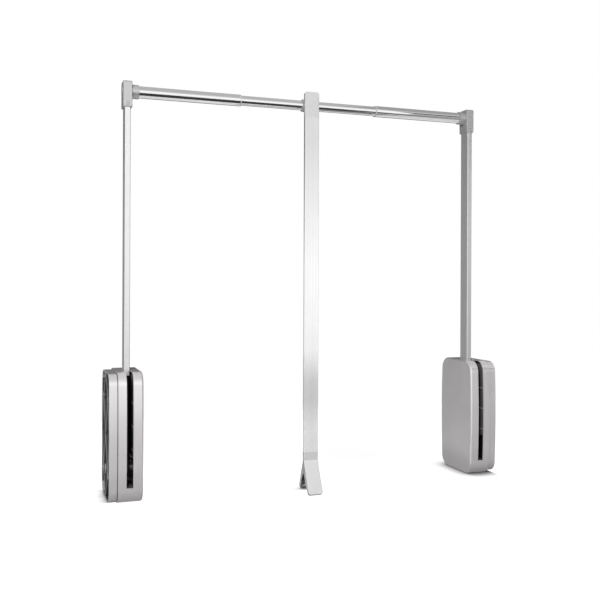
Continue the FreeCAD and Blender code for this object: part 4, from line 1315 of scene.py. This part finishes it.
@dataclass
class Studio:
    """A white surround, soft lamps, a pale floor and the cards that shape reflections.

    stand_fronts is how far the left and the right housing's stand reach before the pivots' axis.
    grip_offset places the handle's stand: from the handle's middle along X, from the pivots' axis
    along Y, and above the handle's foot. inner_offset places the inner card along X from the right
    housing's middle, and along Y. The lifts are how much white is added to the floor and stands. On
    the stands less is added close to what stands on them, which paints a contact shadow there, and
    shadow_span is how open a place on a stand is where the white starts and where it is full.
    """

    ambient: float = 0.2
    floor_middle: Span = (0.4, 1.0)
    floor_height: float = -1.08
    floor_size: Span = (12.0, 12.0)
    floor_colour: Colour = (0.86, 0.86, 0.86)
    floor_lift: float = 0.95
    stand_gap: float = 0.0006
    stand_size: Span = (0.36, 0.32)
    stand_fronts: Span = (0.035, 0.11)
    stand_colour: Colour = (0.25, 0.25, 0.25)
    stand_lift: float = 0.85
    shadow_reach: float = 0.035
    shadow_span: Span = (0.38, 0.97)
    grip_offset: Place = (-0.03, 0.05, 0.003)
    grip_stand_size: Span = (0.09, 0.11)
    card_gap: float = 0.0003
    foot_card_y: float = -0.05
    foot_card_size: Span = (0.26, 0.7)
    foot_shade: float = 0.25
    inner_offset: Span = (-0.24, 0.2)
    inner_card_size: Span = (0.22, 0.5)
    inner_shade: float = 0.42

    LAMPS = (
        Lamp("key", 88.0, 1.0, (-1.05, -1.85, 1.4), (0.35, 0.0, 0.30)),
        Lamp("fill", 18.0, 1.0, (2.2, -1.7, 1.4), (0.35, 0.0, 0.30)),
    )
    CARDS = (
        Card("card_floor_far", (0.1, -3.1, -0.9), (3.7, 2.6), (0, 0, 1), 0.03),
        Card("card_floor_step_1", (2.15, -2.45, -0.9), (0.4, 1.3), (0, 0, 1), 0.03),
        Card("card_floor_step_2", (2.45, -3.75, -0.9), (1.0, 1.3), (0, 0, 1), 0.03),
        Card("card_floor_mid", (-0.1, -1.16, -0.9), (3.3, 1.28), (0, 0, 1), 0.05),
        Card("card_floor_right", (2.1, -1.16, -0.9), (1.1, 1.28), (0, 0, 1), 0.60),
        Card("card_front_low", (0.6, -4.5, -0.6), (5.0, 0.3), (0, 1, 0), 0.12),
        Card("card_ceiling", (-0.1, 0.2, 2.2), (2.6, 3.4), (0, 0, -1), 0.49),
        Card("card_ceiling_right", (1.8, 0.2, 2.2), (1.2, 3.4), (0, 0, -1), 0.36),
        Card("card_ceiling_front", (0.4, -2.2, 2.2), (3.6, 1.4), (0, 0, -1), 0.62),
        Card("card_right", (2.7, -1.4, -0.325), (3.2, 1.55), (-1, 0.35, 0), 0.33),
        Card("card_right_mid", (2.7, -1.4, 0.725), (3.2, 0.55), (-1, 0.35, 0), 0.56),
        Card("card_right_high", (2.7, -1.4, 1.55), (3.2, 1.1), (-1, 0.35, 0), 0.08),
        Card("card_right_rear", (3.4, 1.5, 0.7), (3.0, 3.4), (-1, 0, 0), 0.05),
        Card("card_left", (-2.6, 0.9, 0.7), (3.6, 3.6), (1, 0, 0), 0.20),
        Card("card_floor_near", (0.5, 0.98, -1.0), (3.6, 3.0), (0, 0, 1), 0.72),
        Card("card_rear_left", (-1.9, 2.6, 0.35), (4.0, 1.3), (0, -1, 0), 0.24),
        Card("card_rear_high", (-1.9, 2.6, 1.85), (4.0, 1.7), (0, -1, 0), 0.15),
        Card("card_rear_low", (-1.9, 2.6, -0.8), (4.0, 1.0), (0, -1, 0), 0.34),
        Card("card_rear_right", (2.3, 2.6, 0.7), (4.4, 4.0), (0, -1, 0), 0.06),
    )

    def white_ray(self, tree: Tree) -> Socket:
        """Tell the rays that show the plain white surround from the rest.

        Args:
            tree: the tree to add to.

        Returns:
            1 for those rays, and 0 for the others.
        """
        path = tree.add("LightPath").outputs
        seen = tree.maths("MAXIMUM", path["Is Camera Ray"], path["Is Glossy Ray"])
        return tree.maths("MAXIMUM", seen, path["Is Transmission Ray"])

    def surround(self) -> None:
        """White to the camera and to reflections, and an even soft light to the rest."""
        world = bpy.data.worlds.new("surround")
        bpy.context.scene.world = world
        world.use_nodes = True
        tree = Tree(world.node_tree)
        level = tree.span(self.white_ray(tree), 0.0, 1.0, self.ambient, 1.0)
        sky = tree.add("Background", {"Color": (1.0, 1.0, 1.0), "Strength": level})
        tree.add("OutputWorld", {"Surface": sky.outputs[0]})

    def pale(self, name: str, most: float, contact_shadow: bool = False) -> bpy.types.Material:
        """A floor's paint: pale, lifted to white for the rays that show it, clear from below.

        Args:
            name: the material's name.
            most: how much white is added for those rays.
            contact_shadow: whether less of it is added close to what stands there, a painted
                contact shadow.

        Returns:
            The paint.
        """
        material, tree = blank_material(name)
        lift = tree.span(self.white_ray(tree), 0.0, 1.0, 0.0, most)
        if contact_shadow:
            # painted contact shadow: less white where the stand is hemmed in by what stands on it
            near = tree.add("AmbientOcclusion", {"Distance": self.shadow_reach}, samples=16)
            lift = tree.maths("MULTIPLY", lift, tree.span(near.outputs["AO"], *self.shadow_span))
        paint = tree.add("BsdfDiffuse", {"Color": self.stand_colour if contact_shadow
                                         else self.floor_colour})
        glow = tree.add("Emission", {"Color": (1.0, 1.0, 1.0), "Strength": lift})
        both = tree.add("AddShader", {0: paint.outputs[0], 1: glow.outputs[0]})
        below = tree.add("NewGeometry").outputs["Backfacing"]
        clear = tree.add("BsdfTransparent")
        seen = tree.add("MixShader", {0: below, 1: both.outputs[0], 2: clear.outputs[0]})
        tree.add("OutputMaterial", {"Surface": seen.outputs[0]})
        return material

    def floor(self) -> None:
        """A wide floor that the lowered rail clears, and stands under housings and handle."""
        paints = {"floor": self.pale("floor_pale", self.floor_lift),
                  "stand": self.pale("stand_pale", self.stand_lift, contact_shadow=True)}
        for name, centre, size in self.floor_parts():
            piece = flat_sheet(name, size, centre)
            piece.data.materials.append(paints[name.split("_")[0]])
            piece.visible_shadow = False

    def floor_parts(self) -> list[tuple[str, Place, Span]]:
        """Say where the floor and the three stands lie.

        Returns:
            The name, centre and size of each.
        """
        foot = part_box("left_housing_cover")[0].z - self.stand_gap
        ends = (("stand_left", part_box("left_housing_cover")[1].x),
                ("stand_right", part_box("right_base_plate")[1].x))
        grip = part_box("pull_handle")
        aside, behind, above = self.grip_offset
        under_grip = ((grip[0].x + grip[1].x) / 2 + aside, behind, grip[0].z + above)
        parts = [("floor", (*self.floor_middle, self.floor_height), self.floor_size),
                 ("stand_handle", under_grip, self.grip_stand_size)]
        wide, deep = self.stand_size
        for (name, end), front in zip(ends, self.stand_fronts):
            parts.append((name, (end - wide / 2, (deep - front) / 2, foot), (wide, deep + front)))
        return parts

    def foot_cards(self) -> list[Card]:
        """Put dim cards just over the stands, for the housings' lower reflections.

        Returns:
            One card by the right housing's inner side, and one under each housing.
        """
        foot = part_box("left_housing_cover")[0].z - self.card_gap
        middles = [(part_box(f"{side.value}_housing_cover")[0].x
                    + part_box(f"{side.value}_housing_cover")[1].x) / 2 for side in Side]
        aside, behind = self.inner_offset
        cards = [Card("card_foot_inner", (middles[1] + aside, behind, foot), self.inner_card_size,
                      (0, 0, 1), self.inner_shade)]
        for side, x in zip(Side, middles):
            cards.append(Card(f"card_foot_{side.value}", (x, self.foot_card_y, foot),
                              self.foot_card_size, (0, 0, 1), self.foot_shade))
        return cards

    def build(self) -> None:
        """Set up the light, the floor and the cards."""
        scene = bpy.context.scene
        scene.view_settings.view_transform = "Standard"
        self.surround()
        for lamp in self.LAMPS:
            lamp.build()
        self.floor()
        for card in (*self.CARDS, *self.foot_cards()):
            card.build()
        log.info("studio ready")


# ---- the whole scene ----------------------------------------------------------------------------


def main() -> None:
    """Build the camera, the studio and every sub-assembly in order."""
    logging.basicConfig(level=logging.INFO, format="%(name)s: %(message)s")
    Camera().build()
    Studio().build()
    paints = Paintbox(Effects.build())
    for side in Side:
        Housing(side).dress(paints)
        SwingArm(side).dress(paints)
    RailMiddle().dress(paints)
    PullBar().dress(paints)


if __name__ == "__main__":
    main()
